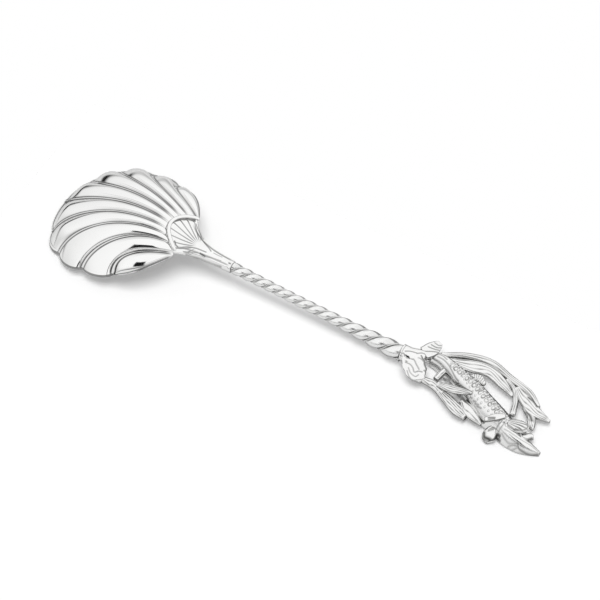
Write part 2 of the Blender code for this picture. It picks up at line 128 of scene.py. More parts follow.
def lengths(path: Array) -> Array:
    """Distance along a path from its first point."""
    return np.concatenate([[0], np.cumsum(np.linalg.norm(np.diff(path, axis=0), axis=1))])


def turns(count: int) -> Array:
    """Angles of a closed ring, in equal steps."""
    return np.linspace(0, 2 * math.pi, count, endpoint=False)


def rings(first: Array, second: Array, turn: Array) -> Array:
    """Rings of offsets: first cos(turn) + second sin(turn), one ring for each row."""
    turn = turn[None, :, None]
    return first[:, None] * np.cos(turn) + second[:, None] * np.sin(turn)


def sweep(path: Array, aside: Array, lift: Array) -> Array:
    """Points beside and above a path: path + aside to its left + lift upwards."""
    return path[:, None] + beside(path)[:, None] * aside[..., None] + UP * lift[..., None]


@dataclass(frozen=True)
class Stroke:
    """Chased line: its points along and across and its half width in mm, and its weight."""

    points: tuple[tuple[float, float], ...]
    weight: float = 0.75
    width: float = 0.15

    def bell(self, x: Array, y: Array) -> Array:
        """Tarnish of the line: weight exp(-(d / width)^2), d being the distance in plan."""
        line = spline(self.points, np.linspace(0, 1, STROKE_STEPS * len(self.points))) * MM
        best = np.full(x.shape, 1.0)
        for start, run in zip(line[:-1], np.diff(line, axis=0)):
            along = np.clip(((x - start[0]) * run[0] + (y - start[1]) * run[1]) / (run @ run), 0, 1)
            away = np.hypot(x - start[0] - along * run[0], y - start[1] - along * run[1])
            best = np.minimum(best, away)
        return self.weight * mark(best, self.width * MM)


def chased(strokes: Sequence[Stroke], x: Array, y: Array) -> Array:
    """Tarnish of several lines, each point taking that of the strongest."""
    return np.max([0 * x] + [stroke.bell(x, y) for stroke in strokes], axis=0)


# Surfaces


@dataclass
class Surface:
    """Closed surface on a grid: rows along a path, each row a closed ring of points.

    Its ends are closed by fans round the middle of the end rings, or, where the end rings
    are folded flat, by merging their points.
    """

    name: str
    points: Array
    tarnish: Array
    folded_ends: bool = False

    def corners(self) -> tuple[Array, list[list[int]], Array]:
        """Points, faces and tarnish with painted shade, with the faces turned outwards.

        Returns:
            The points, the faces' corner numbers and the tarnish and painted shade of each point.
        """
        rows, around = self.points.shape[:2]
        points = self.points.reshape(-1, 3)
        tarnish = self.tarnish.reshape(-1)
        row, ring = np.mgrid[0 : rows - 1, 0:around]
        after = (ring + 1) % around
        corners = [row * around + ring, row * around + after]
        corners += [(row + 1) * around + after, (row + 1) * around + ring]
        quads = np.stack(corners, axis=-1).reshape(-1, 4)
        a, b, c, d = (points[quads[:, step]] for step in range(4))
        middle = points.mean(axis=0)
        volume = np.einsum("ij,ij->", a - middle, np.cross(c - a, d - b))
        faces = quads.tolist()
        if not self.folded_ends:
            first = np.arange(around)
            last = (rows - 1) * around + first
            centres = [self.points[0].mean(axis=0), self.points[-1].mean(axis=0)]
            number = len(points)
            fan = np.stack([np.roll(first, -1), first, np.full(around, number)], axis=-1)
            tip = np.stack([last, np.roll(last, -1), np.full(around, number + 1)], axis=-1)
            faces += fan.tolist() + tip.tolist()
            points = np.vstack([points, centres])
            tarnish = np.append(tarnish, [self.tarnish[0].mean(), self.tarnish[-1].mean()])
        if volume < 0:
            faces = [face[::-1] for face in faces]
        return points, faces, tarnish

    def build(self, finish: SilverFinish, *nodes: str) -> SceneObject:
        """Mesh object that stands for solids of the spoon.

        Args:
            finish: silver finish of the piece.
            nodes: solids that the piece takes the place of.

        Returns:
            The object, riding on the spoon's only body.
        """
        points, faces, tarnish = self.corners()
        mesh = bpy.data.meshes.new(self.name)
        mesh.from_pydata(points.tolist(), [], faces)
        mesh.attributes.new("tarnish", "FLOAT", "POINT").data.foreach_set("value", tarnish)
        if self.folded_ends:
            work = bmesh.new()
            work.from_mesh(mesh)
            bmesh.ops.remove_doubles(work, verts=work.verts, dist=MERGE)
            work.to_mesh(mesh)
            work.free()
        mesh.shade_smooth()
        mesh.materials.append(finish.material())
        piece = bpy.data.objects.new(self.name, mesh)
        bpy.context.scene.collection.objects.link(piece)
        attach(piece, "root")
        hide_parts(*nodes)
        LOG.info("%s: %d faces", self.name, len(mesh.polygons))
        return piece


# Finishes


def operation(kind: str, reflected: bool = False) -> Callable[[Shade, Any], Shade]:
    """Operator of a shade that adds a Math node.

    Args:
        kind: operation of the node.
        reflected: whether the other value comes first.

    Returns:
        The method.
    """

    def method(self: Shade, other: Any) -> Shade:
        """Outcome of the Math node."""
        pair = {0: other, 1: self} if reflected else {0: self, 1: other}
        return self.recipe.node("ShaderNodeMath", {"operation": kind}, pair)

    return method


class Shade:
    """Value of a node socket, with arithmetic that adds Math nodes."""

    __add__ = operation("ADD")
    __radd__ = operation("ADD", reflected=True)
    __sub__ = operation("SUBTRACT")
    __rsub__ = operation("SUBTRACT", reflected=True)
    __mul__ = operation("MULTIPLY")
    __rmul__ = operation("MULTIPLY", reflected=True)
    highest = operation("MAXIMUM")
    lowest = operation("MINIMUM")

    def __init__(self, recipe: Recipe, socket: bpy.types.NodeSocket) -> None:
        """Keep the socket and the tree that it belongs to."""
        self.recipe = recipe
        self.socket = socket


class Recipe:
    """Node tree that is filled by expressions."""

    def __init__(self, tree: bpy.types.NodeTree) -> None:
        """Empty the tree."""
        self.tree = tree
        tree.nodes.clear()

    def node(
        self,
        kind: str,
        settings: dict[str, Any],
        values: dict[int | str, Any],
        output: int | str = 0,
    ) -> Shade:
        """Add a node.

        Args:
            kind: node type.
            settings: properties, set before the sockets.
            values: values or links of the sockets, by number or name.
            output: number or name of the output that is handed on.

        Returns:
            The output, or an empty shade for a node that has none.
        """
        made = self.tree.nodes.new(kind)
        for key, value in settings.items():
            setattr(made, key, value)
        for key, value in values.items():
            if isinstance(value, Shade):
                self.tree.links.new(value.socket, made.inputs[key])
            else:
                made.inputs[key].default_value = value
        return Shade(self, made.outputs[output] if made.outputs else None)

    def blend(self, share: Any, first: Any, second: Any) -> Shade:
        """Mix of two colours by a share from 0 to 1."""
        settings = {"data_type": "RGBA"}
        return self.node("ShaderNodeMix", settings, {0: share, 6: first, 7: second}, 2)

    def noise(self, place: Shade, scale: float, detail: float) -> Shade:
        """Noise from 0 to 1 at a place."""
        return self.node("ShaderNodeTexNoise", {}, {"Vector": place, "Scale": scale, "Detail": detail})

    def attribute(self, name: str) -> Shade:
        """Number kept on the points of a mesh."""
        return self.node("ShaderNodeAttribute", {"attribute_name": name}, {}, "Fac")


def silver(level: float, blue: float) -> Colour:
    """Grey of a level, slightly warm where its blue is less."""
    return (level, level, blue, 1)


@dataclass(frozen=True)
class SilverFinish:
    """Silver with polishing marks, darkened by tarnish and by painted shade where the surface carries them.
    """

    slot: str
    bright: Colour
    clouded: Colour
    dark: Colour
    roughness: float
    marks: float
    edge: float
    cloud_scale: float = 160.0
    grain_scale: float = 2600.0
    mark_scale: tuple[float, float, float] = (250.0, 5200.0, 5200.0)
    mark_depth: float = 0.004 * MM
    grain: float = 0.03
    tarnish_roughness: float = 0.22

    def material(self) -> bpy.types.Material:
        """Material of the finish, made once.

        Returns:
            Metal whose colour clouds slightly over a few millimetres, darkens with the
            attribute of tarnish and painted shade, and is crossed by fine polishing marks.
        """
        name = self.slot + "_polished"
        known = bpy.data.materials.get(name)
        if known is not None:
            return known
        material = bpy.data.materials.new(name)
        material.use_nodes = True
        recipe = Recipe(material.node_tree)
        place = recipe.node("ShaderNodeTexCoord", {}, {}, "Object")
        drawn = recipe.node("ShaderNodeMapping", {}, {"Vector": place, "Scale": self.mark_scale})
        cloud = recipe.noise(place, self.cloud_scale, 3.0)
        grain = recipe.noise(place, self.grain_scale, 2.0)
        marks = recipe.noise(drawn, 1.0, 2.0)
        # the attribute holds tarnish in hollows together with painted shade and painted dark outlines
        tarnish = (recipe.attribute("tarnish") * (0.8 + 0.4 * cloud)).lowest(1.0)
        metal = recipe.blend(cloud, self.bright, self.clouded)
        roughness = self.roughness * (0.75 + 0.5 * cloud)
        bump = {"Strength": self.marks, "Distance": self.mark_depth, "Height": marks}
        values = {
            "Base Color": recipe.blend(tarnish, metal, self.dark),
            "Metallic": 1.0,
            "Specular Tint": (self.edge, self.edge, self.edge, 1),
            "Roughness": roughness + self.grain * grain + self.tarnish_roughness * tarnish,
            "Normal": recipe.node("ShaderNodeBump", {}, bump),
        }
        shader = recipe.node("ShaderNodeBsdfPrincipled", {}, values)
        recipe.node("ShaderNodeOutputMaterial", {}, {"Surface": shader})
        return material


BOWL_SILVER = SilverFinish(
    "bowl_silver", silver(0.97, 0.965), silver(0.93, 0.92), silver(0.05, 0.05),
    roughness=0.07, marks=0.25, edge=0.78,
)
HEEL_SILVER = SilverFinish(
    "heel_silver", silver(0.96, 0.955), silver(0.92, 0.91), silver(0.06, 0.06),
    roughness=0.1, marks=0.3, edge=0.2,
)
ROPE_SILVER = SilverFinish(
    "rope_silver", silver(0.96, 0.955), silver(0.92, 0.91), silver(0.07, 0.07),
    roughness=0.24, marks=0.3, edge=0.08,
)
WIRE_SILVER = SilverFinish(
    "wire_silver", silver(0.94, 0.935), silver(0.9, 0.89), silver(0.08, 0.08),
    roughness=0.14, marks=0.3, edge=0.4,
)
CAST_SILVER = SilverFinish(
    "cast_silver", silver(0.95, 0.945), silver(0.9, 0.89), silver(0.06, 0.055),
    roughness=0.18, marks=0.5, edge=0.12,
)


# Bowl and heel


@dataclass(frozen=True)
class HeelArc:
    """Border between bowl and heel, bowed into the bowl and crowned in the middle."""

    width: float = 12.4 * MM
    height: float = 10.6 * MM
    crown: float = 3.0 * MM
    bow: float = 4.9 * MM

    def line(self, share: Array) -> Array:
        """Points of the border.

        Args:
            share: places across the heel, from -1 to 1.

        Returns:
            Points with x = -bow (1 - share^2) and z = height + crown sqrt(1 - share^2).
        """
        share = np.asarray(share, float)
        lift = np.sqrt(np.maximum(1 - share**2, 0))
        along = -self.bow * (1 - share**2)
        return np.stack([along, share * self.width / 2, self.height + self.crown * lift], axis=-1)


@dataclass(frozen=True)
class ShellGrid:
    """Half of the shell before its lobes swell, as columns by rows.

    Columns run from the middle groove outwards. Across counts them in lobes, and t is the
    place within a lobe. Rows run from the heel to the rim, and s is the share of the way.
    """

    across: Array
    lobe: Array
    t: Array
    s: Array
    skin: Array
    normal: Array
    rimward: Array
    widths: Array


@dataclass(frozen=True)
class ShellBowl:
    """Fluted shell: lobes between grooves that run from the heel to the rim notches.

    Notches are degrees round the rim from the tip, headings are degrees off the axis, and
    pulls, climbs and falls are the groove lines' tangents at both ends in mm. Drops say how
    much of each lobe's swell is lost at the rim. Painted reflection lines, dark lines along
    the grooves near the heel, have a place in mm and a weight.
    Ranges are shares of the way from heel to rim, but that of the near roll counts lobes.
    """

    heel: HeelArc
    length: float = 38.2 * MM
    width: float = 36.6 * MM
    wall: float = 1.1 * MM
    edge_wall: float = 0.3 * MM
    painted_edge_shade: float = 0.7
    rim_centre: float = 20.2 * MM
    rim_squareness: float = 2.3
    rim_rest: float = 0.9 * MM
    rim_rise: float = 7.4 * MM
    tip_curl: float = 1.4 * MM
    rim_bulge: float = 0.9 * MM
    outer_edge: float = 0.6 * MM
    fullness: float = 0.15
    thin_lobe: float = 12.0
    swell_power: float = 2.2
    root_spread: float = 0.25
    lean: float = 0.3
    lean_loss: float = 0.3
    lean_lobes: tuple[int, ...] = (2, 3)
    lean_range: Range = (0.35, 0.8)
    far_drops: tuple[float, ...] = (0.6, 0.6, 0.55, 0.4, 0.0)
    near_drops: tuple[float, ...] = (0.6, 0.4, 0.0, 0.0, 0.0)
    full_drop: float = 0.5
    drop_range: Range = (0.74, 1.0)
    pillow: float = 0.4
    pillow_range: Range = (0.35, 0.8)
    flat_share: float = 0.86
    flat_range: Range = (0.1, 0.4)
    fillet_heel: float = 0.16 * MM
    fillet_rim: float = 0.5 * MM
    fillet_share: float = 0.2
    bead: float = 0.1 * MM
    bead_range: Range = (0.05, 0.3)
    crease: float = 0.18 * MM
    crease_range: Range = (0.0, 0.1)
    bed_tone: float = 0.16
    painted_reflection_lines: tuple[tuple[float, float], ...] = ((0.42, 0.55), (0.8, 0.35))
    fine_width: float = 0.08 * MM
    fine_start: Range = (0.02, 0.12)
    fine_end: Range = (0.3, 0.6)
    rim_line: float = 0.2 * MM
    painted_rim_shade: float = 0.75
    roll_height: float = 0.28 * MM
    roll_place: float = 0.5 * MM
    roll_width: float = 0.38 * MM
    near_roll: Range = (1.0, 2.2)
    open_share: float = 0.06
    foot_place: float = 1.05 * MM
    foot_width: float = 0.28 * MM
    foot_tone: float = 0.85
    notches: tuple[float, ...] = (0, 30, 60, 88, 112, 117)
    headings: tuple[float, ...] = (0, 8, 12, 16, 33, 67)
    pulls: tuple[float, ...] = (40, 41, 39, 31, 23, 14)
    climbs: tuple[float, ...] = (17, 19, 18.5, 14.5, 7.5, 2)
    rim_headings: tuple[float, ...] = (0, 80, 90, 93, 113, 10)
    rim_pulls: tuple[float, ...] = (7, 14, 16, 14, 13, 16)
    rim_falls: tuple[float, ...] = (9, 13.5, 16.5, 15.5, 13.5, 6.5)
    columns: int = 40
    bunching: float = 0.78
    rows: int = 108
    row_power: float = 1.5
    edge_steps: int = 6

    def rim(self, angles: Array) -> Array:
        """Line through the rim notches: a superellipse in plan that rises to the heel.

        Args:
            angles: radians round the rim's centre, from the tip.

        Returns:
            Points of the rim on the far side.
        """
        cos, sin = np.cos(angles), np.sin(angles)
        power = 2 / self.rim_squareness
        reach = self.length - self.rim_centre
        along = -self.rim_centre - reach * np.sign(cos) * np.abs(cos) ** power
        curl = self.tip_curl * np.maximum(np.cos(3 * np.minimum(angles, math.pi / 6)), 0) ** 2
        height = self.rim_rest + self.rim_rise * (along + self.length) / self.length + curl
        return np.stack([along, self.width / 2 * np.abs(sin) ** power, height], axis=-1)

    @staticmethod
    def bearing(headings: Sequence[float], pulls: Sequence[float], climbs: Sequence[float]) -> Array:
        """Tangents from headings off the axis in degrees, and pulls and climbs in mm."""
        heading = np.radians(headings)
        pull = np.array(pulls) * MM
        climb = np.array(climbs) * MM
        return np.stack([-pull * np.cos(heading), pull * np.sin(heading), climb], axis=-1)

    def swell(self, t: Array) -> Array:
        """Swell across a lobe: 1 - |2t - 1|^2.2."""
        return 1 - np.abs(2 * t - 1) ** self.swell_power

    def grid(self) -> ShellGrid:
        """Half of the shell before its lobes swell.

        Groove lines are cubic curves from the border arc to the notches, and the skin lies
        between them.

        Returns:
            The half on the far side.
        """
        grooves = len(self.notches)
        lobes = grooves - 1
        even = np.linspace(0, lobes, lobes * self.columns + 1)
        across = even - self.bunching * np.sin(2 * np.pi * even) / (2 * np.pi)
        shares = across / lobes
        lobe = np.minimum(np.floor(across + 1e-9).astype(int), lobes - 1)
        t = across - lobe

        spread = np.minimum(np.arange(grooves) / (grooves - 2), 1)
        roots = self.heel.line((1 + self.root_spread) * spread - self.root_spread * spread**2)
        roots[-1] += (0, self.outer_edge, -self.outer_edge)
        notches = self.rim(np.radians(self.notches))
        notches[-1, 1] += self.outer_edge
        leave = self.bearing(self.headings, self.pulls, self.climbs)
        arrive = self.bearing(self.rim_headings, self.rim_pulls, np.negative(self.rim_falls))
        root, start, notch, end = (spline(line, shares) for line in (roots, leave, notches, arrive))
        full = across < lobes - 1
        rim = notch + (self.rim_bulge * self.swell(t) * full)[:, None] * unit(end)

        s = (1 - np.linspace(1, 0, self.rows) ** self.row_power)[None, :, None]
        root, start, rim, end = (line[:, None] for line in (root, start, rim, end))
        skin = root * (1 + 2 * s) * (1 - s) ** 2 + start * s * (1 - s) ** 2
        skin = skin + rim * s**2 * (3 - 2 * s) + end * s**2 * (s - 1)
        normal = unit(np.cross(np.gradient(skin, axis=0), np.gradient(skin, axis=1)))
        normal[0, :, 1] = 0
        widths = np.linalg.norm(np.diff(skin[:: self.columns], axis=0), axis=2)
        return ShellGrid(across, lobe, t, s[:, :, 0], skin, normal, unit(end), widths)

    def profile(self, drop: Array, s: Array) -> Array:
        """Change of a lobe's swell from heel to rim: flatter, then fuller, then lower.

        Args:
            drop: how much of the swell is lost at the rim.
            s: share of the way from heel to rim.

        Returns:
            Factors, which are 1 where there is no drop.
        """
        dropped = np.minimum(drop / self.full_drop, 1)
        rise = self.pillow * dropped
        base = 1 - (1 - self.flat_share) * dropped * ramp(s, *self.flat_range)
        fuller = rise * ramp(s, *self.pillow_range)
        lower = (drop + rise) * ramp(s, *self.drop_range)
        return base + fuller - lower

    def patina_and_painted_rim(self, s: Array, away: Array, lip: Array, rolled: Array) -> Array:
        """Tarnish in the creases, the groove beds and at the foot of the rolled rim, with painted
        reflection lines along the grooves and a painted dark outline along the rim.

        Args:
            s: share of the way from heel to rim.
            away: distance from the crease beside a groove, below 0 in the groove.
            lip: distance from the rim.
            rolled: how much the rim is rolled, from 0 to 1.

        Returns:
            Tarnish and painted shade of the outer skin.
        """
        tarnish = mark(away, self.crease) * ramp(s, *self.crease_range)
        bed = self.bed_tone * (away < 0) * ramp(s, *self.bead_range)
        tarnish = np.maximum(tarnish, bed)
        # painted reflection lines: dark lines along the grooves near the heel
        fade = ramp(s, *self.fine_start) * (1 - ramp(s, *self.fine_end))
        for place, weight in self.painted_reflection_lines:
            fine = away - place * MM * (0.6 + s)
            tarnish = np.maximum(tarnish, weight * fade * mark(fine, self.fine_width))
        # painted dark outline along the rim, standing in for a dark reflection at the edge
        tarnish = np.maximum(tarnish, self.painted_rim_shade * mark(lip, self.rim_line))
        foot = self.foot_tone * mark(lip - self.foot_place, self.foot_width) * rolled
        return np.maximum(tarnish, foot)

    def half(self, far: bool) -> tuple[Array, Array, Array, Array]:
        """Half of the shell, on the far side, from its middle groove outwards.

        A fillet with a low bead lies along each groove. On the near side the middle lobes
        lean to the heel. The wall is at most a third of a lobe's width. The rim is rolled to
        a bell-shaped bead, which on the near side fades from the tip.

        Args:
            far: whether the rolled rim goes all the way to the heel.

        Returns:
            Outer skin, inner skin, rim direction and tarnish with painted shade, as columns by rows.
        """
        grid = self.grid()
        s, t = grid.s, grid.t[:, None]
        width = grid.widths[grid.lobe]
        fillet = (self.fillet_heel + (self.fillet_rim - self.fillet_heel) * s) / np.maximum(width, 1e-6)
        fillet = np.minimum(fillet, self.fillet_share)
        edge = np.minimum(t, 1 - t)
        leaning = 0.0
        if not far:
            leaning = np.isin(grid.lobe, self.lean_lobes)[:, None] * ramp(s, *self.lean_range)
        peak = 0.5 + self.lean * leaning
        rising = (t - fillet) / (peak - fillet)
        falling = (1 - t - fillet) / (1 - peak - fillet)
        dome = 1 - (1 - np.clip(np.minimum(rising, falling), 0, 1)) ** self.swell_power
        drop = np.array(self.far_drops if far else self.near_drops)[grid.lobe][:, None]
        fullness = np.minimum(self.fullness, width / (self.thin_lobe * self.wall))
        fullness = fullness * (1 - self.lean_loss * leaning) * self.profile(drop, s)

        lip = lengths(grid.skin[len(grid.skin) // 3])[-1] * (1 - s)
        open_edge = ramp(len(grid.widths) - grid.across, 0.0, self.open_share)[:, None]
        rolled = open_edge * (1.0 if far else 1 - ramp(grid.across, *self.near_roll)[:, None])
        roll = self.roll_height * mark(lip - self.roll_place, self.roll_width) * rolled
        bead = self.bead * (1 - np.clip(edge / fillet, 0, 1) ** 2) * ramp(s, *self.bead_range)
        crown = fullness * width * dome + bead * open_edge + roll
        outer = grid.skin + grid.normal * crown[:, :, None]
        left = grid.widths[np.maximum(np.ceil(grid.across - 1e-9).astype(int) - 1, 0)]
        wall = np.clip(np.minimum(left, width) / 3, self.edge_wall, self.wall) * open_edge
        hollow = fullness * width * self.swell(t) - wall
        inner = grid.skin + grid.normal * hollow[:, :, None]
        tarnish = self.patina_and_painted_rim(s, (edge - fillet) * width, lip, rolled)
        return outer, inner, grid.rimward * wall[:, -1:, None], tarnish

    def surface(self, shift: Array) -> Surface:
        """Whole shell as loops round its wall, from one outer edge to the other.

        Args:
            shift: place of the heel corners in the frame.

        Returns:
            Loops that run up the outer skin, round the rim, flat where it rests on the
            table, and back under the inner skin.
        """
        loops, shades = [], []
        turn = np.linspace(0, math.pi, self.edge_steps + 1)[None, 1:-1, None]
        for far in (False, True):
            outer, inner, lip, tarnish = self.half(far)
            inner = inner[:, ::-1]
            middle = (outer[:, -1:] + inner[:, :1]) / 2
            radius = (outer[:, -1:] - inner[:, :1]) / 2
            edge = middle + radius * np.cos(turn) + lip * 0.5 * np.sin(turn)
            loops.append(np.concatenate([outer, edge, inner], axis=1))
            shade = np.zeros(loops[-1].shape[:2])
            shade[:, : self.rows] = tarnish
            # painted dark outline: the outer half of the rim's rounded edge is darkened in place of a dark
            # reflection
            shade[:, self.rows : self.rows + self.edge_steps // 2] = self.painted_edge_shade
            shades.append(shade)
        near = loops[0][:0:-1] * (1, -1, 1)
        points = np.concatenate([near, loops[1]]) + shift
        points[..., 2] = np.maximum(points[..., 2], 0)
        shade = np.concatenate([shades[0][:0:-1], shades[1]])
        return Surface("shell", points, shade, folded_ends=True)

    def build(self, shift: Array) -> None:
        """Make the bowl."""
        self.surface(shift).build(BOWL_SILVER, "shell_bowl")


@dataclass(frozen=True)
class HeelFan:
    """Rayed fan that narrows into the neck, and the bead along its border."""

    arc: HeelArc
    neck: float = 14.3 * MM
    flare: float = 3.6 * MM
    neck_height: float = 7.0 * MM
    neck_radius: float = 1.6 * MM
    thickness: float = 1.4 * MM
    ray_angle: float = 13.0
    ray_width: float = 0.13 * MM
    ray_depth: float = 0.07 * MM
    ray_tone: float = 0.8
    ray_end: float = 0.93
    ray_fade: float = 0.06
    ray_start: Range = (1.0 * MM, 3.2 * MM)
    ray_front: Range = (0.2 * MM, 1.2 * MM)
    focus: float = 4.6 * MM
    bead_radius: float = 0.5 * MM
    bead_flat: float = 0.9
    bead_taper: float = 0.08
    bead_reach: float = 0.46
    bead_steps: int = 160
    bead_around: int = 28
    seam: float = 0.3 * MM
    painted_bead_shade: float = 0.55
    ridge: float = 0.18 * MM
    ridge_lean: float = 48.0
    ridge_aside: float = 0.74
    ridge_up: float = 0.67
    ridge_width: float = 0.3 * MM
    ridge_start: Range = (0.5 * MM, 2.5 * MM)
    ridge_end: float = 12.6 * MM
    foot_place: float = 0.5 * MM
    foot_width: float = 0.2 * MM
    foot_tones: tuple[float, float] = (0.6, 0.9)
    chase_depth: float = 0.1 * MM
    arc_points: int = 221
    rows: int = 150
    row_power: float = 1.4
    strokes: tuple[Stroke, ...] = (
        Stroke(((0.1, 5.0), (2.0, 3.6), (4.0, 2.1), (6.5, 1.0), (7.5, 0.4))),
        Stroke(((8.5, 0.3), (9.6, 0.3), (10.9, 0.4)), 0.45),
        Stroke(((-0.1, -4.7), (1.8, -2.4), (3.9, -1.2), (6.6, -0.6))),
        Stroke(((1.8, -3.9), (3.5, -2.6), (5.4, -1.7), (6.9, -1.6), (9.1, -1.1), (11.3, -0.8)), 0.6),
        Stroke(((5.4, -1.7), (6.9, -1.6)), 0.95, 0.2),
        Stroke(((2.4, -3.9), (5.9, -2.5), (11.9, -1.7)), 0.55),
        Stroke(((13.5, -0.3), (13.9, -0.3)), 0.85, 0.2),
        Stroke(((-1.3, -3.4), (-0.5, -4.1), (0.1, -4.1)), 0.9, 0.18),
    )

    def fan(self, shift: Array) -> Surface:
        """Fan: half-round rings whose width decays as exp(-x / flare) into the neck.

        Rays are thin grooves that meet in one point of the plan. The margins are rolled to
        bell-shaped ridges where the surface leans by the ridges' angle, dark at their inner
        foot on the near and the far side.

        Args:
            shift: place of the heel corners in the frame.

        Returns:
            The fan and the neck, closed at both ends.
        """
        top = np.linspace(-0.5, 0.5, self.arc_points) * math.pi
        under = top[::-1][1:-1]
        angles = np.concatenate([top, under])
        above = np.arange(len(angles)) < len(top)
        along = self.neck * np.linspace(0, 1, self.rows)[:, None] ** self.row_power
        flare = np.exp(-along / self.flare)
        flat = (1 - along / self.neck) * flare
        half = self.neck_radius + (self.arc.width / 2 - self.neck_radius) * flare
        level = self.neck_height + (self.arc.height - self.neck_height) * flare
        rise = self.neck_radius + (self.arc.crown - self.neck_radius) * flare
        drop = self.neck_radius - (self.neck_radius + self.arc.crown - self.thickness) * flat
        across = np.sin(angles)
        height = np.where(above, rise, -drop) * np.cos(angles)
        x = along - self.arc.bow * flat * (1 - across**2)
        y = half * across

        reach = np.hypot(self.focus - x, y)
        step = math.radians(self.ray_angle)
        phase = np.arctan2(y, self.focus - x) / step
        field = ramp(reach, *self.ray_start) * ramp(self.focus - x, *self.ray_front)
        field = field * ramp(self.ray_end - np.abs(across), 0, self.ray_fade) * above
        spoke = field * mark(nearest(phase + 0.5) * step * reach, self.ray_width)

        margin = chased(self.strokes, x, y + 0 * x) * above
        lean = np.arctan(math.tan(math.radians(self.ridge_lean)) * half / rise)
        arc = np.hypot(half * np.cos(lean), rise * np.sin(lean))
        inward = (lean - np.abs(angles)) * arc
        rolled = above * ramp(along, *self.ridge_start) * (1 - ramp(along, self.ridge_end, self.neck))
        ridge = self.ridge * mark(inward, self.ridge_width) * rolled
        tone = np.where(angles > 0, self.foot_tones[1], self.foot_tones[0])
        foot = tone * mark(inward - self.foot_place, self.foot_width) * rolled
        y = y + self.ridge_aside * ridge * np.sign(angles)
        height = height + self.ridge_up * ridge
        z = level + height - self.ray_depth * spoke - self.chase_depth * margin
        points = np.stack([x, y, z], axis=-1) + shift
        tarnish = np.maximum(np.maximum(self.ray_tone * spoke, margin), foot)
        pole = np.broadcast_to(points[-1:].mean(axis=1), points[:1].shape)
        front = points[:1].copy()
        front[0, 1 : len(top) - 1] = points[0, len(top) :][::-1]
        points = np.concatenate([front, points, pole])
        tarnish = np.concatenate([0 * tarnish[:1], tarnish, 0 * tarnish[:1]])
        return Surface("heel", points, tarnish, folded_ends=True)

    def border(self, shift: Array) -> Surface:
        """Bead along the border arc: a round wire with painted shade on its lower half.

        Args:
            shift: place of the heel corners in the frame.

        Returns:
            The bead, closed at both ends.
        """
        place = np.linspace(-self.bead_reach, self.bead_reach, self.bead_steps) * math.pi
        path = self.arc.line(np.sin(place))
        path[:, 0] += self.bead_radius
        path[:, 2] += self.bead_radius + self.seam
        heading = unit(np.gradient(path, axis=0))
        out = unit(np.cross(heading, UP))
        up = np.cross(out, heading)
        turn = turns(self.bead_around)
        inside = np.minimum(place - place[0], place[-1] - place)
        radius = self.bead_radius * np.sqrt(np.clip(inside / self.bead_taper, 0.05, 1))
        ring = rings(out, self.bead_flat * up, turn)
        points = path[:, None] + radius[:, None, None] * ring + shift
        # painted shade on the lower half of the bead
        flank = np.broadcast_to(ramp(-np.sin(turn), -0.25, 0.4), points.shape[:2])
        return Surface("heel_bead", points, self.painted_bead_shade * flank)

    def build(self, shift: Array) -> None:
        """Make the fan and its bead."""
        self.fan(shift).build(HEEL_SILVER, "heel_fan")
        self.border(shift).build(HEEL_SILVER, "heel_border")


# Rope stem


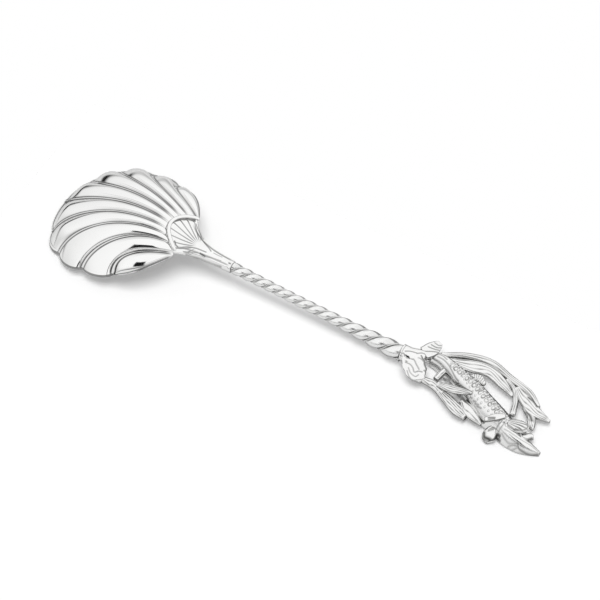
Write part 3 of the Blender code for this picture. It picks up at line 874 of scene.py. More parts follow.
@dataclass(frozen=True)
class RopeStem:
    """Two half-round strands laid round each other, with a fine wire in each groove."""

    start: float = 14.6 * MM
    length: float = 51.0 * MM
    start_height: float = 7.0 * MM
    end_height: float = 3.8 * MM
    neck_radius: float = 1.6 * MM
    waist_pull: float = 1.0 * MM
    end_radius: float = 2.5 * MM
    helix: float = 55.0
    sink: float = 0.36
    sink_power: float = 1.8
    flank_tone: float = 0.04
    flank_range: Range = (0.55, 1.25)
    painted_far_flank_shade: float = 0.36
    far_flank_range: Range = (0.2, 0.75)
    groove_tone: float = 0.75
    groove_range: Range = (1.35, 1.52)
    flow: float = 0.25
    flow_pitch: float = 0.3
    flow_width: float = 0.06
    flow_range: Range = (0.55, 0.9)
    painted_far_line: float = 0.68
    far_line_start: Range = (0.4, 0.55)
    far_line_end: Range = (0.8, 0.9)
    wire_reach: float = 0.76
    wire_radius: float = 0.2 * MM
    wire_tones: tuple[float, float, float] = (0.12, 0.15, 0.35)
    gap: float = 0.3 * MM
    steps: int = 560
    face_points: int = 61
    flat_points: int = 15
    wire_points: int = 12

    def axis(self) -> tuple[Array, Array, Array]:
        """Axis of the rope.

        The radius is a quadratic curve of the length, and the twist grows by
        tan(helix) / radius for each length along the axis.

        Returns:
            Points, radii and twist angles.
        """
        share = np.linspace(0, 1, self.steps)
        along = self.start + self.length * share
        height = self.start_height + (self.end_height - self.start_height) * share
        radius = self.neck_radius * (1 - share) ** 2 + 2 * self.waist_pull * share * (1 - share)
        radius = radius + self.end_radius * share**2
        rate = math.tan(math.radians(self.helix)) / radius
        step = np.diff(along) * (rate[1:] + rate[:-1]) / 2
        twist = np.concatenate([[0], np.cumsum(step)])
        return np.stack([along, np.zeros_like(along), height], axis=-1), radius, twist

    @staticmethod
    def offset(radius: Array, angle: Array) -> Array:
        """Offsets from the axis, at angles that are zero on top and grow to +Y."""
        across, up = radius * np.sin(angle), radius * np.cos(angle)
        return np.stack([0 * across, across, up], axis=-1)

    def strand(self, name: str, phase: float, shift: Array) -> Surface:
        """One strand: half of a round bar, its face sinking to the grooves at both sides.

        At an angle a from the middle of its face the strand reaches radius times
        1 - sink |a / 90 degrees|^1.8; its inner side is flat. Fine flow lines run along the
        top, tarnish lies on the flanks and in the groove, painted shade darkens the flank
        that faces the far side, and a painted dark line runs along the far side.

        Args:
            name: name of the piece.
            phase: turn of the strand round the axis.
            shift: place of the heel corners in the frame.

        Returns:
            The strand, duller on its flanks, with painted shade on its far flank, and dark where it dips to
            the groove.
        """
        points, radius, twist = self.axis()
        face = np.linspace(-0.5, 0.5, self.face_points) * math.pi
        reach = 1 - self.sink * np.abs(face / (0.5 * math.pi)) ** self.sink_power
        flat = np.linspace(reach[-1], -reach[0], self.flat_points)[1:-1]
        out = np.concatenate([reach * np.cos(face), np.zeros_like(flat)])
        aside = np.concatenate([reach * np.sin(face), flat])
        out = self.gap / 2 + (radius[:, None] - self.gap / 2) * out
        aside = radius[:, None] * aside
        turned = twist[:, None] + phase
        angle = np.arctan2(aside, out) + turned
        where = np.concatenate([np.abs(face), np.full(len(flat), math.pi / 2)])
        # painted shade: the flank turned to the far side is darkened
        turned_away = ramp(np.sin(angle - 0.1), *self.far_flank_range)
        flank = self.flank_tone + self.painted_far_flank_shade * turned_away
        flank = flank * ramp(where, *self.flank_range)
        tarnish = np.maximum(flank, self.groove_tone * ramp(where, *self.groove_range))
        lines = nearest(face / self.flow_pitch + 0.5) * self.flow_pitch
        flow = np.concatenate([lines, np.ones(len(flat))])
        top = ramp(np.cos(angle - 0.5), *self.flow_range) * (where > 0.4)
        tarnish = np.maximum(tarnish, self.flow * mark(flow, self.flow_width) * top)
        # painted dark line along the far side of the rope, standing in for a dark reflection at its outline
        aslant = np.sin(angle) * (np.cos(angle) > 0)
        painted_far_line = ramp(aslant, *self.far_line_start) * (1 - ramp(aslant, *self.far_line_end))
        tarnish = np.maximum(tarnish, self.painted_far_line * painted_far_line * (where < 1.5))
        place = points[:, None] + self.offset(np.hypot(out, aside), angle)
        return Surface(name, place + shift, tarnish)

    def wire(self, name: str, phase: float, shift: Array) -> Surface:
        """One fine wire along the groove between the strands.

        Args:
            name: name of the piece.
            phase: turn of the wire round the axis.
            shift: place of the heel corners in the frame.

        Returns:
            The wire, dull all round, with painted shade on the near side, and darker deep in the groove.
        """
        points, radius, twist = self.axis()
        path = points + self.offset(self.wire_reach * radius, twist + phase)
        heading = unit(np.gradient(path, axis=0))
        out = unit(self.offset(np.ones_like(radius), twist + phase))
        out = unit(out - heading * np.sum(out * heading, axis=1, keepdims=True))
        other = np.cross(heading, out)
        turn = turns(self.wire_points)
        # painted shade: the wire is darker where it lies on the near side of the rope
        near = ramp(np.cos(twist + phase + 1.1), 0.0, 0.8)[:, None]
        inner = 1 - ramp(np.cos(turn), -0.6, 0.5)
        tones = self.wire_tones
        tarnish = tones[0] + tones[1] * near + tones[2] * inner
        points = path[:, None] + self.wire_radius * rings(out, other, turn)
        return Surface(name, points + shift, tarnish)

    def build(self, shift: Array) -> None:
        """Make the strands and the wires."""
        for letter, phase in (("a", 0.0), ("b", math.pi)):
            strand = self.strand("strand_" + letter, phase, shift)
            strand.build(ROPE_SILVER, "rope_strand_" + letter)
            wire = self.wire("wire_" + letter, phase + math.pi / 2, shift)
            wire.build(WIRE_SILVER, "rope_wire_" + letter)


# Finial


class Veins(Enum):
    """How the lines of a fin or frond run."""

    LENGTHWISE = "lengthwise"
    CROSSWISE = "crosswise"
    PLAIN = "plain"


@dataclass(frozen=True)
class Leaf:
    """Fin or frond: a lens section along stations, with chased veins.

    Stations are along, across, height of the middle plane and half width, in mm from the
    end of the rope and from the table. Thickness and cup are in mm as well.
    """

    node: str
    stations: tuple[tuple[float, float, float, float], ...]
    thickness: float
    cup: float = 0.0
    veins: Veins = Veins.PLAIN
    count: float = 1.0
    slant: float = 0.0
    ruffle: float = 0.0
    ruffles: float = 5.0
    tip: float = 0.08 * MM
    lens_power: float = 0.75
    vein: float = 0.13 * MM
    vein_room: Range = (0.25 * MM, 0.9 * MM)
    vein_start: Range = (0.0, 0.08)
    vein_end: Range = (0.9, 1.0)
    depth: float = 0.16 * MM
    stain: float = 0.8
    painted_rim_shade: float = 0.8
    rim_width: float = 0.2
    near_rim: Range = (0.85, 0.97)
    far_rim: Range = (0.78, 0.92)
    painted_under_shade: float = 0.2
    strokes: tuple[Stroke, ...] = ()
    rows: int = 90
    around: int = 112

    def surface(self, shift: Array) -> Surface:
        """Lens section swept along the stations.

        With v = cos(angle) across and the angle running round the section, the half
        thickness follows |sin|^0.75, the cup lifts the edges by v^2, and each vein is a
        bell-shaped groove in the upper face. Tarnish lies in the veins, painted dark outlines
        lie along both rims, and painted shade lies on the lower face.

        Args:
            shift: place of the end of the rope, on the table.

        Returns:
            The leaf, closed at both ends.
        """
        u = np.linspace(0, 1, self.rows)
        line = spline(self.stations, u) * MM
        path, half = line[:, :3], np.maximum(line[:, 3:], self.tip)
        turn = turns(self.around)
        v = np.broadcast_to(np.cos(turn), (self.rows, self.around))
        sin = np.broadcast_to(np.sin(turn), v.shape)
        u = np.broadcast_to(u[:, None], v.shape)
        width = half * (1 + self.ruffle * np.sin(2 * math.pi * self.ruffles * u + 1.0))
        body = self.thickness / 2 * MM * np.minimum(half / (0.5 * half.max()), 1) ** 0.5
        lens = np.sign(sin) * np.abs(sin) ** self.lens_power
        lift = body * lens + self.cup * MM * v**2

        distance = np.full(v.shape, 1.0)
        if self.veins is Veins.LENGTHWISE:
            wave = np.sin(2 * math.pi * u) + 0.8 * np.sin(11 * u + 3 * v)
            phase = (v + 1) / 2 * self.count + 0.5 + self.slant * wave
            distance = nearest(phase) / self.count * 2 * width
        elif self.veins is Veins.CROSSWISE:
            distance = nearest(u * self.count + self.slant * v) / self.count * lengths(path)[-1]
        upper = ramp(sin, 0.02, 0.3)
        fade = upper * ramp(half, *self.vein_room)
        fade = fade * ramp(u, *self.vein_start) * (1 - ramp(u, *self.vein_end))
        fade = fade * (0.45 + 0.55 * np.sin(9 * u + 5 * v) ** 2)
        plan = sweep(path, v * width, 0 * v)
        groove = chased(self.strokes, plan[..., 0], plan[..., 1]) * upper
        groove = np.maximum(groove, self.stain * mark(distance, self.vein) * fade)
        points = plan + UP * (lift - self.depth * groove)[..., None]
        # painted dark outlines along the near edge and the far edge of the upper face
        near_rim = mark(lens, self.rim_width) * ramp(-v, *self.near_rim)
        far_rim = ramp(v, *self.far_rim) * (sin > 0)
        tarnish = np.maximum(groove, self.painted_rim_shade * np.maximum(near_rim, far_rim))
        # painted shade on the lower face
        tarnish = np.maximum(tarnish, self.painted_under_shade * (sin < -0.2))
        return Surface(self.node + "_chased", points + shift, tarnish)

    def build(self, shift: Array) -> None:
        """Make the leaf."""
        self.surface(shift).build(CAST_SILVER, self.node)


@dataclass(frozen=True)
class PlateRow:
    """Row of bony plates: its place across and half size in mm, and its shift at the head."""

    across: float
    phase: float
    size: float
    weight: float
    drift: float = 0.0


@dataclass(frozen=True)
class Sturgeon:
    """Body of the sturgeon: bony plates along its back, a ridged snout and a flat belly.

    Stations are along, across, half width and height of the back, in mm.
    """

    stations: tuple[tuple[float, float, float, float], ...] = (
        (7.0, 3.6, 1.4, 4.4),
        (10.0, 3.6, 1.9, 4.9),
        (13.0, 2.8, 2.2, 5.2),
        (16.5, 1.4, 2.5, 5.6),
        (21.0, -0.3, 2.8, 6.0),
        (26.0, -2.8, 3.1, 6.2),
        (30.5, -5.1, 3.5, 6.1),
        (35.5, -7.5, 3.5, 5.4),
        (39.0, -8.6, 2.7, 4.1),
        (42.0, -8.6, 1.9, 2.7),
        (45.0, -8.4, 0.7, 1.1),
    )
    foot: float = 0.14
    section_power: float = 1.4
    belly: float = 0.01
    belly_half: float = 0.85
    foot_tone: float = 0.2
    plate_rows: tuple[PlateRow, ...] = (
        PlateRow(-0.6, 0.0, 0.4, 1.0),
        PlateRow(0.45, 0.5, 0.36, 1.0),
        PlateRow(1.5, 0.1, 0.32, 0.9),
        PlateRow(-0.8, 0.3, 0.2, 0.6, drift=-1.1),
    )
    plate_pitch: float = 1.45 * MM
    plate_rise: float = 0.3 * MM
    ring_place: float = 1.3
    ring_width: float = 0.3
    trunk_start: Range = (5 * MM, 8 * MM)
    trunk_end: Range = (29 * MM, 32 * MM)
    drift_range: Range = (8 * MM, 20 * MM)
    stipple_pitch: tuple[float, float] = (0.27 * MM, 0.24 * MM)
    stipple_depth: float = 0.05 * MM
    stipple_tone: float = 0.6
    stipple_range: Range = (0.45, 0.9)
    stipple_edge: Range = (-1.2 * MM, -0.4 * MM)
    snout_rise: float = 0.3 * MM
    snout_crest: Stroke = Stroke(
        ((34.7, -9.3), (37.3, -9.8), (40.0, -9.6), (42.5, -9.2), (44.6, -8.8)), weight=1.0, width=0.75
    )
    chase_depth: float = 0.12 * MM
    near_swell: float = 1.35
    jaw_swell: float = 0.92
    jaw_range: Range = (21 * MM, 29 * MM)
    strokes: tuple[Stroke, ...] = (
        # Gill cover
        Stroke(((33.2, -7.6), (32.7, -8.8), (32.7, -9.5), (33.6, -10.1), (34.7, -10.5))),
        Stroke(((34.2, -7.6), (33.7, -8.9), (33.5, -9.6), (34.3, -10.2)), 0.6),
        # Snout
        Stroke(((34.8, -8.9), (37.2, -9.0), (39.9, -9.0), (42.2, -8.6), (44.7, -8.6)), 0.4),
        Stroke(((34.6, -9.7), (35.9, -10.3), (37.5, -10.6), (39.5, -10.0)), 0.4),
        Stroke(((39.5, -10.0), (40.0, -10.5), (41.4, -10.4), (43.2, -9.9), (44.9, -9.0)), 0.7, 0.17),
        # Eye and mouth
        Stroke(((37.1, -11.0), (38.3, -10.6), (39.5, -10.4)), 0.45),
        Stroke(((39.6, -10.6), (38.4, -11.1), (37.2, -11.1)), 0.45),
        Stroke(((38.1, -11.2), (39.5, -11.1), (40.4, -10.9), (41.5, -10.5)), 0.4),
        # Flank
        Stroke(((22.2, -4.0), (22.9, -4.2)), 0.6),
        Stroke(((23.5, -4.7), (24.4, -4.9)), 0.6),
        Stroke(((24.3, -5.2), (25.5, -5.5)), 0.6),
        Stroke(((25.1, -5.7), (26.6, -6.1)), 0.6),
        # Tail
        Stroke(((8.8, 3.0), (10.7, 2.7), (12.7, 1.8), (14.1, 0.8), (15.9, -0.5), (17.2, -1.2)), 0.6),
        Stroke(((7.6, 2.5), (8.4, 3.4), (9.9, 3.6), (11.6, 3.0)), 0.6),
    )
    rows: int = 420
    arc_points: int = 133
    belly_points: int = 15

    def surface(self, shift: Array) -> Surface:
        """Rounded back over a flat belly, swept along the stations.

        The section is half cos(angle) wide, times a factor on the near side that changes from
        the flank to the jaw, and height (0.14 + 0.86 sin(angle)^1.4) high. Bony plates
        are bells in rows along the back, each with a dark ring, on a ground of stipple, the
        product of two sines. The snout carries a bell-shaped ridge, and chased lines mark
        gills, eye and mouth.

        Args:
            shift: place of the end of the rope, on the table.

        Returns:
            The body with tarnish in its chased lines.
        """
        u = np.linspace(0, 1, self.rows)
        along, across, half, height = (spline(self.stations, u) * MM).T
        path = np.stack([along, across, np.zeros_like(along)], axis=-1)
        a = lengths(path)[:, None]
        angles = np.linspace(0, math.pi, self.arc_points)
        under = np.full(self.belly_points, self.belly)
        flat = np.linspace(-self.belly_half, self.belly_half, self.belly_points)
        sideways = np.concatenate([np.cos(angles), flat])[None]
        swell = self.near_swell + (self.jaw_swell - self.near_swell) * ramp(a, *self.jaw_range)
        sideways = sideways * np.where(sideways < 0, swell, 1.0)
        arch = self.foot + (1 - self.foot) * np.sin(angles) ** self.section_power
        upright = np.concatenate([arch, under])[None]
        back = np.concatenate([np.ones_like(arch), np.zeros_like(under)])[None]
        lean = np.concatenate([math.pi / 2 - angles, np.zeros_like(under)])[None]
        b = lean * (half + 0.78 * height)[:, None] / 2

        trunk = ramp(a, *self.trunk_start) * (1 - ramp(a, *self.trunk_end))
        rise = np.zeros_like(b)
        tarnish = np.zeros_like(b)
        for row in self.plate_rows:
            size = row.size * MM
            middle = (row.across + row.drift * ramp(a, *self.drift_range)) * MM
            phase = a / self.plate_pitch + row.phase + 0.07 * np.sin(a / MM)
            place = np.hypot(b - middle, nearest(phase) * self.plate_pitch) / size
            uneven = 0.35 + 0.65 * np.sin(1.3 * a / MM + 5 * row.phase) ** 2
            rise += self.plate_rise * row.weight * mark(place, 1.0) * trunk
            ring = mark(place - self.ring_place, self.ring_width)
            tarnish = np.maximum(tarnish, row.weight * uneven * ring * trunk)
        pitch = self.stipple_pitch
        stipple = np.sin(a / pitch[0] + np.sin(b / MM)) * np.sin(b / pitch[1])
        field = trunk * ramp(b, *self.stipple_edge)
        rise -= self.stipple_depth * stipple * field
        pits = self.stipple_tone * ramp(stipple, *self.stipple_range)
        tarnish = np.maximum(tarnish, pits * field)

        plan = sweep(path, half[:, None] * sideways, 0 * b)
        x, y = plan[..., 0], plan[..., 1]
        lines = chased(self.strokes, x, y) * back
        rise += self.snout_rise * self.snout_crest.bell(x, y) - self.chase_depth * lines
        points = plan + UP * (height[:, None] * upright + rise * back)[..., None]
        tarnish = np.maximum(tarnish, lines) * back
        # painted shade: the belly and the lowest edge of the flank are darkened
        tarnish = np.maximum(tarnish, self.foot_tone * ramp(0.25 - upright, 0, 0.2))
        return Surface("sturgeon", points + shift, tarnish)

    def build(self, shift: Array) -> None:
        """Make the body."""
        self.surface(shift).build(CAST_SILVER, "sturgeon_body")


@dataclass(frozen=True)
class Sleeve:
    """Smooth sleeve that takes the rope into the tail; along, across, height, radius in mm."""

    stations: tuple[tuple[float, float, float, float], ...] = (
        (0.0, 0.0, 3.8, 2.25),
        (2.2, 0.2, 3.7, 2.15),
        (4.6, 1.6, 3.4, 1.8),
        (6.6, 3.2, 2.8, 1.3),
    )
    strokes: tuple[Stroke, ...] = (
        Stroke(((4.0, 0.5), (5.3, 1.7), (6.7, 1.8))),
        Stroke(((1.2, -0.7), (2.4, 0.0), (4.0, 0.6))),
        Stroke(((6.2, 1.1), (6.5, 1.1)), 0.8, 0.2),
        Stroke(((0.6, -1.6), (1.0, -1.3), (1.6, -1.6)), 0.6),
    )
    collar_place: float = 0.5 * MM
    collar_width: float = 0.12 * MM
    collar_tone: float = 0.5
    rows: int = 90
    around: int = 120

    def surface(self, shift: Array) -> Surface:
        """Round rings along the stations, with chased lines and a dark collar.

        Args:
            shift: place of the end of the rope, on the table.

        Returns:
            The sleeve, closed at both ends.
        """
        line = spline(self.stations, np.linspace(0, 1, self.rows)) * MM
        turn = turns(self.around)
        path, radius = line[:, :3], line[:, 3:]
        points = sweep(path, radius * np.cos(turn), radius * np.sin(turn))
        collar = mark(lengths(path) - self.collar_place, self.collar_width)[:, None]
        lines = chased(self.strokes, points[..., 0], points[..., 1]) * ramp(np.sin(turn), 0, 0.2)
        tarnish = np.maximum(self.collar_tone * collar, lines)
        return Surface("sleeve", points + shift, tarnish)

    def build(self, shift: Array) -> None:
        """Make the sleeve."""
        self.surface(shift).build(HEEL_SILVER, "stem_sleeve")


@dataclass(frozen=True)
class Rosette:
    """Rayed plate on the skull: a half-sunk ellipsoid cut by rays from one end."""

    place: tuple[float, float, float] = (37.3, -6.5, 5.0)
    size: tuple[float, float, float] = (3.1, 1.9, 1.3)
    turn: float = 14.0
    rays: float = 11.0
    ray_width: float = 0.055
    root: float = -1.15
    rim: float = 0.86
    rim_width: float = 0.05
    ray_start: Range = (0.35, 0.6)
    cut: float = 0.16
    cut_tone: float = 0.7
    painted_under_shade: float = 0.6
    pole: float = 0.495
    rows: int = 72
    around: int = 144

    def surface(self, shift: Array) -> Surface:
        """Ellipsoid in rings from its lower to its upper pole, rays cut from its root.

        Args:
            shift: place of the end of the rope, on the table.

        Returns:
            The plate with tarnish in its rays.
        """
        polar = np.linspace(-self.pole, self.pole, self.rows)[:, None] * math.pi
        around = turns(self.around)[None]
        x, y = np.cos(polar) * np.cos(around), np.cos(polar) * np.sin(around)
        z = np.broadcast_to(np.sin(polar), x.shape)
        step = math.pi / self.rays
        bearing = np.arctan2(y, x - self.root)
        spoke = mark(nearest(bearing / step + 0.5) * step, self.ray_width)
        spoke = spoke * ramp(z, 0.1, 0.4) * ramp(np.hypot(x - self.root, y), *self.ray_start)
        rim = mark(np.hypot(x, y) - self.rim, self.rim_width) * (z > 0)
        cut = np.maximum(spoke, rim)
        local = np.stack([x, y, z * (1 - self.cut * cut)], axis=-1) * np.array(self.size) * MM
        angle = math.radians(self.turn)
        cos, sin = math.cos(angle), math.sin(angle)
        turned = local @ np.array([[cos, sin, 0], [-sin, cos, 0], [0, 0, 1.0]])
        # painted shade on the lower half of the plate
        tarnish = np.maximum(self.cut_tone * cut, self.painted_under_shade * ramp(-z, -0.1, 0.2))
        return Surface("rosette", turned + np.array(self.place) * MM + shift, tarnish)

    def build(self, shift: Array) -> None:
        """Make the plate."""
        self.surface(shift).build(CAST_SILVER, "head_rosette")


LEAVES = (
    Leaf(
        "tail_lobe_near",
        ((2.2, 0.9, 4.4, 1.8), (4.0, -1.6, 3.9, 2.9), (6.6, -3.9, 3.0, 2.7), (8.6, -5.0, 2.6, 1.0)),
        thickness=1.4, cup=0.6, ruffle=0.03, rows=130,
        strokes=(
            Stroke(((3.3, -1.2), (4.2, -1.2), (5.2, -1.9), (6.5, -2.7))),
            Stroke(((2.6, -3.0), (3.8, -2.8), (4.9, -3.2), (5.8, -4.0), (6.6, -3.2), (7.5, -2.9))),
            Stroke(((4.0, -3.9), (5.1, -4.8), (6.6, -5.0), (7.1, -4.1)), 0.6),
            Stroke(((4.1, -4.8), (5.3, -5.9), (6.6, -6.3), (7.7, -5.5), (8.8, -4.4)), 0.6),
            Stroke(((4.4, -0.1), (5.7, -0.1), (6.8, -0.5), (7.9, -1.3), (8.3, -2.4)), 0.6),
            Stroke(((2.2, -1.5), (3.3, -1.1)), 0.95, 0.25),
            Stroke(((2.5, -2.6), (2.8, -2.6)), 0.8, 0.2),
            Stroke(((7.8, -2.3), (8.1, -2.3)), 0.8, 0.2),
        ),
    ),
    Leaf(
        "tail_lobe_far",
        ((5.2, 2.2, 4.0, 1.9), (6.4, 4.1, 4.2, 2.1), (7.2, 5.9, 4.4, 1.5), (7.6, 6.9, 4.5, 0.7)),
        thickness=1.3, cup=0.5,
        strokes=(
            Stroke(((5.3, 4.3), (7.2, 4.4), (8.6, 4.6))),
            Stroke(((5.7, 5.2), (7.4, 5.1), (8.4, 5.4))),
            Stroke(((5.2, 2.7), (7.0, 3.5), (8.9, 4.0))),
            Stroke(((6.2, 6.1), (7.4, 5.9), (8.2, 6.1)), 0.6),
        ),
    ),
    Leaf(
        "anal_fin",
        ((12.6, 2.4, 2.8, 0.8), (11.8, 0.2, 2.7, 0.9), (11.3, -2.4, 2.4, 0.8)),
        thickness=1.6, veins=Veins.LENGTHWISE, count=2.0,
    ),
    Leaf(
        "dorsal_fin",
        ((19.6, 2.0, 4.2, 0.8), (21.6, 2.2, 4.5, 1.1), (23.6, 1.3, 4.3, 0.5)),
        thickness=1.2, veins=Veins.CROSSWISE, count=7.0, slant=0.5,
    ),
    Leaf(
        "pectoral_fin_upper",
        ((33.4, -6.0, 5.8, 0.6), (31.4, -7.5, 5.8, 1.1), (29.2, -9.0, 5.0, 0.7)),
        thickness=1.3,
        strokes=(
            Stroke(((29.9, -8.4), (31.5, -7.9)), 0.8, 0.2),
            Stroke(((30.2, -8.8), (31.6, -8.2)), 0.8, 0.2),
        ),
    ),
    Leaf(
        "pectoral_fin_near",
        ((31.8, -8.0, 2.0, 1.4), (31.6, -10.5, 1.8, 1.85), (31.6, -11.6, 1.6, 1.6), (31.7, -12.4, 1.4, 0.5)),
        thickness=2.6,
        strokes=(Stroke(((30.2, -11.0), (31.0, -12.1), (32.7, -12.0)), 0.9, 0.4),),
    ),
    Leaf(
        "pectoral_fin_far",
        ((36.8, -7.4, 2.6, 1.4), (40.0, -6.4, 2.6, 1.3), (41.8, -5.8, 2.2, 0.5)),
        thickness=2.0,
        strokes=(
            Stroke(((39.0, -7.3), (40.9, -5.7)), 0.8, 0.2),
            Stroke(((40.3, -8.6), (41.7, -6.5)), 0.8, 0.2),
        ),
    ),
    Leaf(
        "kelp_stem_near",
        ((8.4, -4.1, 2.4, 0.9), (11.7, -4.2, 2.4, 1.2), (15.1, -5.4, 2.4, 1.1)),
        thickness=1.8, veins=Veins.LENGTHWISE, count=3.0, slant=0.15,
    ),
    Leaf(
        "kelp_flank_blade",
        ((12.8, -4.2, 3.6, 0.7), (16.5, -4.1, 4.0, 1.2), (20.0, -3.7, 4.6, 1.0), (22.3, -3.3, 5.0, 0.3)),
        thickness=1.3, veins=Veins.LENGTHWISE, count=4.0, slant=0.1,
    ),
    Leaf(
        "kelp_round_frond",
        ((13.9, -5.3, 2.3, 1.0), (17.5, -6.7, 2.3, 1.5), (20.8, -8.1, 2.2, 1.7), (23.6, -9.1, 2.0, 0.9)),
        thickness=1.9, cup=0.3, veins=Veins.LENGTHWISE, count=5.0, slant=0.12,
    ),
    Leaf(
        "kelp_pointed_leaf",
        ((20.6, -5.2, 2.4, 0.8), (24.2, -7.2, 2.6, 1.7), (28.2, -9.0, 2.1, 0.3)),
        thickness=2.0, veins=Veins.LENGTHWISE, count=2.0, slant=0.1,
    ),
    Leaf(
        "kelp_outer_strand",
        (
            (8.8, 5.0, 2.8, 0.6),
            (15.2, 8.2, 2.8, 0.9),
            (21.6, 9.3, 2.8, 1.0),
            (27.8, 7.6, 2.7, 0.9),
            (34.0, 6.1, 2.5, 0.9),
            (38.4, 3.4, 2.2, 0.5),
        ),
        thickness=1.7, veins=Veins.LENGTHWISE, count=3.0, slant=0.2, rows=160,
    ),
    Leaf(
        "kelp_hanging_blade",
        (
            (12.2, 4.4, 2.5, 0.9),
            (17.4, 5.9, 2.5, 1.9),
            (22.2, 6.8, 2.5, 1.8),
            (26.8, 5.1, 2.4, 1.4),
            (31.0, 3.1, 2.1, 0.4),
        ),
        thickness=1.5, cup=0.2, veins=Veins.LENGTHWISE, count=4.0, slant=0.25, rows=140,
    ),
    Leaf(
        "kelp_inner_strand",
        ((27.4, 6.8, 2.4, 0.6), (30.4, 5.0, 2.4, 0.7), (32.4, 2.0, 2.4, 0.8), (33.8, -2.4, 2.4, 0.8)),
        thickness=1.5, veins=Veins.LENGTHWISE, count=3.0, slant=0.1,
    ),
    Leaf(
        "kelp_end_leaf",
        ((30.8, 5.6, 2.4, 0.8), (34.9, 3.1, 2.4, 1.7), (38.8, 1.3, 2.2, 1.6), (42.9, 0.9, 1.8, 0.4)),
        thickness=1.7, cup=0.3, veins=Veins.LENGTHWISE, count=4.0, slant=0.25,
        strokes=(Stroke(((35.0, 4.2), (37.2, 3.6), (38.2, 2.9)), 0.9, 0.35),),
    ),
    Leaf(
        "kelp_lower_leaf",
        ((35.2, 1.6, 2.2, 0.7), (38.0, -0.2, 2.2, 1.1), (39.4, -2.4, 2.0, 1.0), (40.2, -3.4, 1.8, 0.4)),
        thickness=1.5, veins=Veins.LENGTHWISE, count=3.0, slant=0.2,
        strokes=(Stroke(((36.6, 0.1), (38.0, -0.6), (39.0, -1.6)), 0.9, 0.4),),
    ),
)


@dataclass(frozen=True)
class Finial:
    """Sturgeon among kelp: sleeve, body, rosette, fins and fronds."""

    body: Sturgeon = Sturgeon()
    sleeve: Sleeve = Sleeve()
    rosette: Rosette = Rosette()
    leaves: tuple[Leaf, ...] = LEAVES

    def build(self, shift: Array) -> None:
        """Make the finial.

        Args:
            shift: place of the end of the rope, on the table.
        """
        self.sleeve.build(shift)
        self.body.build(shift)
        self.rosette.build(shift)
        for leaf in self.leaves:
            leaf.build(shift)


# Studio


RAYS = ("Is Camera Ray", "Is Glossy Ray", "Is Transmission Ray", "Diffuse Depth")


@dataclass(frozen=True)
class Gap:
    """Darkening of the tent: a bell in azimuth and elevation, in degrees, and its depth."""

    azimuth: float
    spread: float
    depth: float
    height: float
    level: float = 0.0


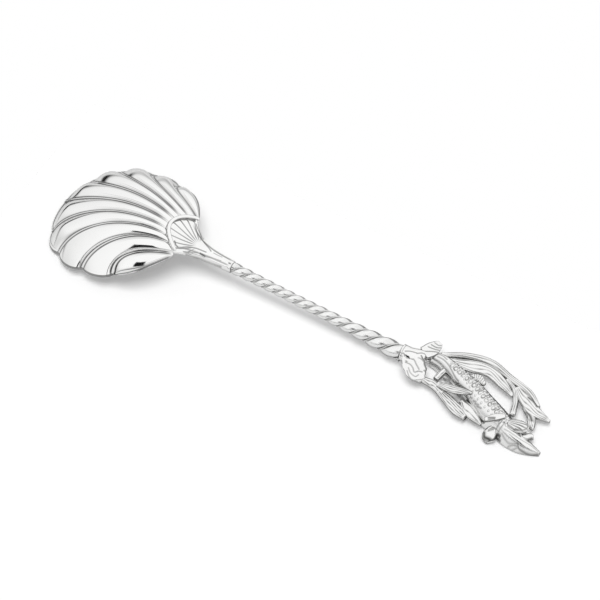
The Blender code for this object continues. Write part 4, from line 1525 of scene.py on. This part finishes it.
@dataclass(frozen=True)
class Studio:
    """White table in a white tent with gaps at its foot, and one soft lamp.

    The table ends behind the bowl and beyond its tip, so that the rims of the shell mirror
    the foot of the tent. The card is given by the azimuths and elevations of its corners,
    in degrees.
    """

    azimuth: float = 30.4
    elevation: float = 52.3
    distance: float = 0.9
    target: tuple[float, float, float] = (-2.9 * MM, 3.4 * MM, 0.7 * MM)
    lens: float = 204.28
    sensor: float = 36.0
    nearest_seen: float = 0.01
    ambient: float = 0.4
    lamp_azimuth: float = -60.0
    lamp_elevation: float = 82.0
    lamp_distance: float = 2.0
    lamp_size: float = 1.2
    lamp_power: float = 28.0
    floor_size: float = 4.0
    floor_left: float = -87 * MM
    floor_back: float = 34 * MM
    floor_tone: float = 0.8
    floor_glow: float = 0.21
    tent_centre: tuple[float, float, float] = (-50 * MM, -5 * MM, 5 * MM)
    tent_radius: float = 1.0
    tent_foot: float = -28.0
    tent_top: float = 62.0
    tent_columns: int = 361
    tent_rows: int = 181
    gaps: tuple[Gap, ...] = (
        Gap(azimuth=-80, spread=60, depth=0.9, height=12),
        Gap(azimuth=65, spread=42, depth=0.6, height=6, level=-15),
        Gap(azimuth=175, spread=60, depth=0.5, height=4, level=-8),
        Gap(azimuth=175, spread=60, depth=0.08, height=45),
        Gap(azimuth=155, spread=14, depth=0.95, height=4.5, level=-9),
        Gap(azimuth=112, spread=16, depth=0.3, height=4, level=-14),
    )
    card: tuple[tuple[float, float], ...] = ((-93, 51), (-58, 39), (-55, 8), (-78, 19))
    card_blur: float = 1.0
    darkest: float = 0.01

    @staticmethod
    def bearing(azimuth: float, elevation: float) -> Vector:
        """Direction at an azimuth from +X towards +Y and an elevation, both in degrees."""
        a, e = math.radians(azimuth), math.radians(elevation)
        return Vector((math.cos(a) * math.cos(e), math.sin(a) * math.cos(e), math.sin(e)))

    def camera(self) -> None:
        """Camera above the near side, with the target in the middle of the frame."""
        data = bpy.data.cameras.new("camera")
        data.lens = self.lens
        data.sensor_width = self.sensor
        data.clip_start = self.nearest_seen
        camera = bpy.data.objects.new("camera", data)
        away = self.bearing(self.azimuth - 90, self.elevation)
        camera.location = Vector(self.target) + away * self.distance
        camera.rotation_euler = away.to_track_quat("Z", "Y").to_euler()
        bpy.context.scene.collection.objects.link(camera)
        bpy.context.scene.camera = camera

    @staticmethod
    def seen(recipe: Recipe) -> Shade:
        """Whether a ray is the camera's, or its image in metal or glass, before any matte."""
        light = {name: recipe.node("ShaderNodeLightPath", {}, {}, name) for name in RAYS}
        straight = light["Is Camera Ray"].highest(light["Is Glossy Ray"])
        straight = straight.highest(light["Is Transmission Ray"])
        return straight * (1 - light["Diffuse Depth"].lowest(1.0))

    def world(self) -> None:
        """White surroundings: full white to the camera and in the metal, less on the floor."""
        world = bpy.data.worlds.new("tent")
        world.use_nodes = True
        bpy.context.scene.world = world
        recipe = Recipe(world.node_tree)
        strength = self.ambient + (1 - self.ambient) * self.seen(recipe)
        tent = recipe.node("ShaderNodeBackground", {}, {"Strength": strength, "Color": (1, 1, 1, 1)})
        recipe.node("ShaderNodeOutputWorld", {}, {"Surface": tent})

    @staticmethod
    def stage_object(
        name: str, points: Array, faces: list[list[int]], material: bpy.types.Material
    ) -> SceneObject:
        """Table or tent of the studio.

        Args:
            name: name of the object.
            points: its corners.
            faces: its faces' corner numbers.
            material: its material.

        Returns:
            The object.
        """
        mesh = bpy.data.meshes.new(name)
        mesh.from_pydata(points.tolist(), [], faces)
        mesh.materials.append(material)
        made = bpy.data.objects.new(name, mesh)
        bpy.context.scene.collection.objects.link(made)
        return made

    def floor(self) -> None:
        """Pale table top that keeps the shadow, with a little glow to the camera.

        It is a rectangle that ends behind the bowl and beyond its tip.
        """
        material = bpy.data.materials.new("table_white")
        material.use_nodes = True
        recipe = Recipe(material.node_tree)
        pale = silver(self.floor_tone, self.floor_tone)
        matte = recipe.node("ShaderNodeBsdfDiffuse", {}, {"Color": pale})
        camera = recipe.node("ShaderNodeLightPath", {}, {}, "Is Camera Ray")
        glow = recipe.node("ShaderNodeEmission", {}, {"Strength": self.floor_glow * camera})
        both = recipe.node("ShaderNodeAddShader", {}, {0: matte, 1: glow})
        recipe.node("ShaderNodeOutputMaterial", {}, {"Surface": both})
        half, left, back = self.floor_size / 2, self.floor_left, self.floor_back
        corners = np.array([[left, -half, 0], [half, -half, 0], [half, back, 0], [left, back, 0]])
        self.stage_object("table", corners, [[0, 1, 2, 3]], material)

    def tent_glow(self, azimuth: Array, elevation: Array) -> Array:
        """Brightness of the tent wall, seen from the bowl.

        White, less the bells of the gaps near the foot and of a pale grey wash on the left,
        and less a dark card with soft edges beside the camera.

        Args:
            azimuth: degrees from +X towards +Y.
            elevation: degrees above the table.

        Returns:
            Brightness from 0 to 1.
        """
        glow = np.ones_like(azimuth + elevation)
        for gap in self.gaps:
            turn = (azimuth - gap.azimuth + 180) % 360 - 180
            glow = glow - gap.depth * mark(turn, gap.spread) * mark(elevation - gap.level, gap.height)
        outside = np.full(glow.shape, -90.0)
        for (x, y), (next_x, next_y) in zip(self.card, self.card[1:] + self.card[:1]):
            across, up = next_x - x, next_y - y
            beyond = ((elevation - y) * across - (azimuth - x) * up) / math.hypot(across, up)
            outside = np.maximum(outside, beyond)
        return np.clip(glow * ramp(outside, -self.card_blur, self.card_blur), self.darkest, 1)

    def tent(self) -> None:
        """Tent wall round the table: a band of a sphere that only the metal sees."""
        material = bpy.data.materials.new("tent_cloth")
        material.use_nodes = True
        recipe = Recipe(material.node_tree)
        share = self.ambient + (1 - self.ambient) * self.seen(recipe)
        glow = recipe.attribute("glow") * share
        cloth = recipe.node("ShaderNodeEmission", {}, {"Strength": glow})
        recipe.node("ShaderNodeOutputMaterial", {}, {"Surface": cloth})
        azimuth = np.linspace(-180, 180, self.tent_columns)[None]
        elevation = np.linspace(self.tent_foot, self.tent_top, self.tent_rows)[:, None]
        a, e = np.radians(azimuth), np.radians(elevation)
        level = np.cos(e)
        sphere = np.stack([level * np.cos(a), level * np.sin(a), np.sin(e) + 0 * a], axis=-1)
        points = np.array(self.tent_centre) + self.tent_radius * sphere
        rows, across = points.shape[:2]
        row, ring = np.mgrid[0 : rows - 1, 0 : across - 1]
        first = row * across + ring
        faces = np.stack([first, first + 1, first + across + 1, first + across], axis=-1)
        faces = faces.reshape(-1, 4).tolist()
        wall = self.stage_object("tent_wall", points.reshape(-1, 3), faces, material)
        glow = self.tent_glow(azimuth, elevation).reshape(-1)
        wall.data.attributes.new("glow", "FLOAT", "POINT").data.foreach_set("value", glow)
        wall.visible_camera = False
        wall.visible_diffuse = False
        wall.visible_shadow = False

    def lamp(self) -> None:
        """Soft square lamp above, somewhat to the camera's side, kept out of the reflections."""
        data = bpy.data.lights.new("lamp", "AREA")
        data.shape = "SQUARE"
        data.size = self.lamp_size
        data.energy = self.lamp_power
        lamp = bpy.data.objects.new("lamp", data)
        away = self.bearing(self.lamp_azimuth, self.lamp_elevation)
        lamp.location = away * self.lamp_distance
        lamp.rotation_euler = away.to_track_quat("Z", "Y").to_euler()
        lamp.visible_glossy = False
        lamp.visible_camera = False
        bpy.context.scene.collection.objects.link(lamp)

    def build(self) -> None:
        """Set the view and make camera, world, floor, tent and lamp."""
        bpy.context.scene.view_settings.view_transform = "Standard"
        self.camera()
        self.world()
        self.floor()
        self.tent()
        self.lamp()


# Assembly


def main() -> None:
    """Build the spoon in order, then the studio, and note the two boxes."""
    logging.basicConfig(level=logging.INFO)
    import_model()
    arc = HeelArc()
    rope = RopeStem()
    fan = HeelFan(arc)
    rope_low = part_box("rope_strand_a")[0]
    bead_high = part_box("heel_border")[1]
    crest = arc.height + arc.crown + 2 * fan.bead_radius + fan.seam
    spoon = np.array([rope_low.x - rope.start, 0.0, bead_high.z - crest])
    finial = np.array([spoon[0] + rope.start + rope.length + fan.seam, 0.0, 0.0])
    ShellBowl(arc).build(spoon)
    fan.build(spoon)
    rope.build(spoon)
    Finial().build(finial)
    Studio().build()
    bpy.context.view_layer.update()


if __name__ == "__main__":
    main()
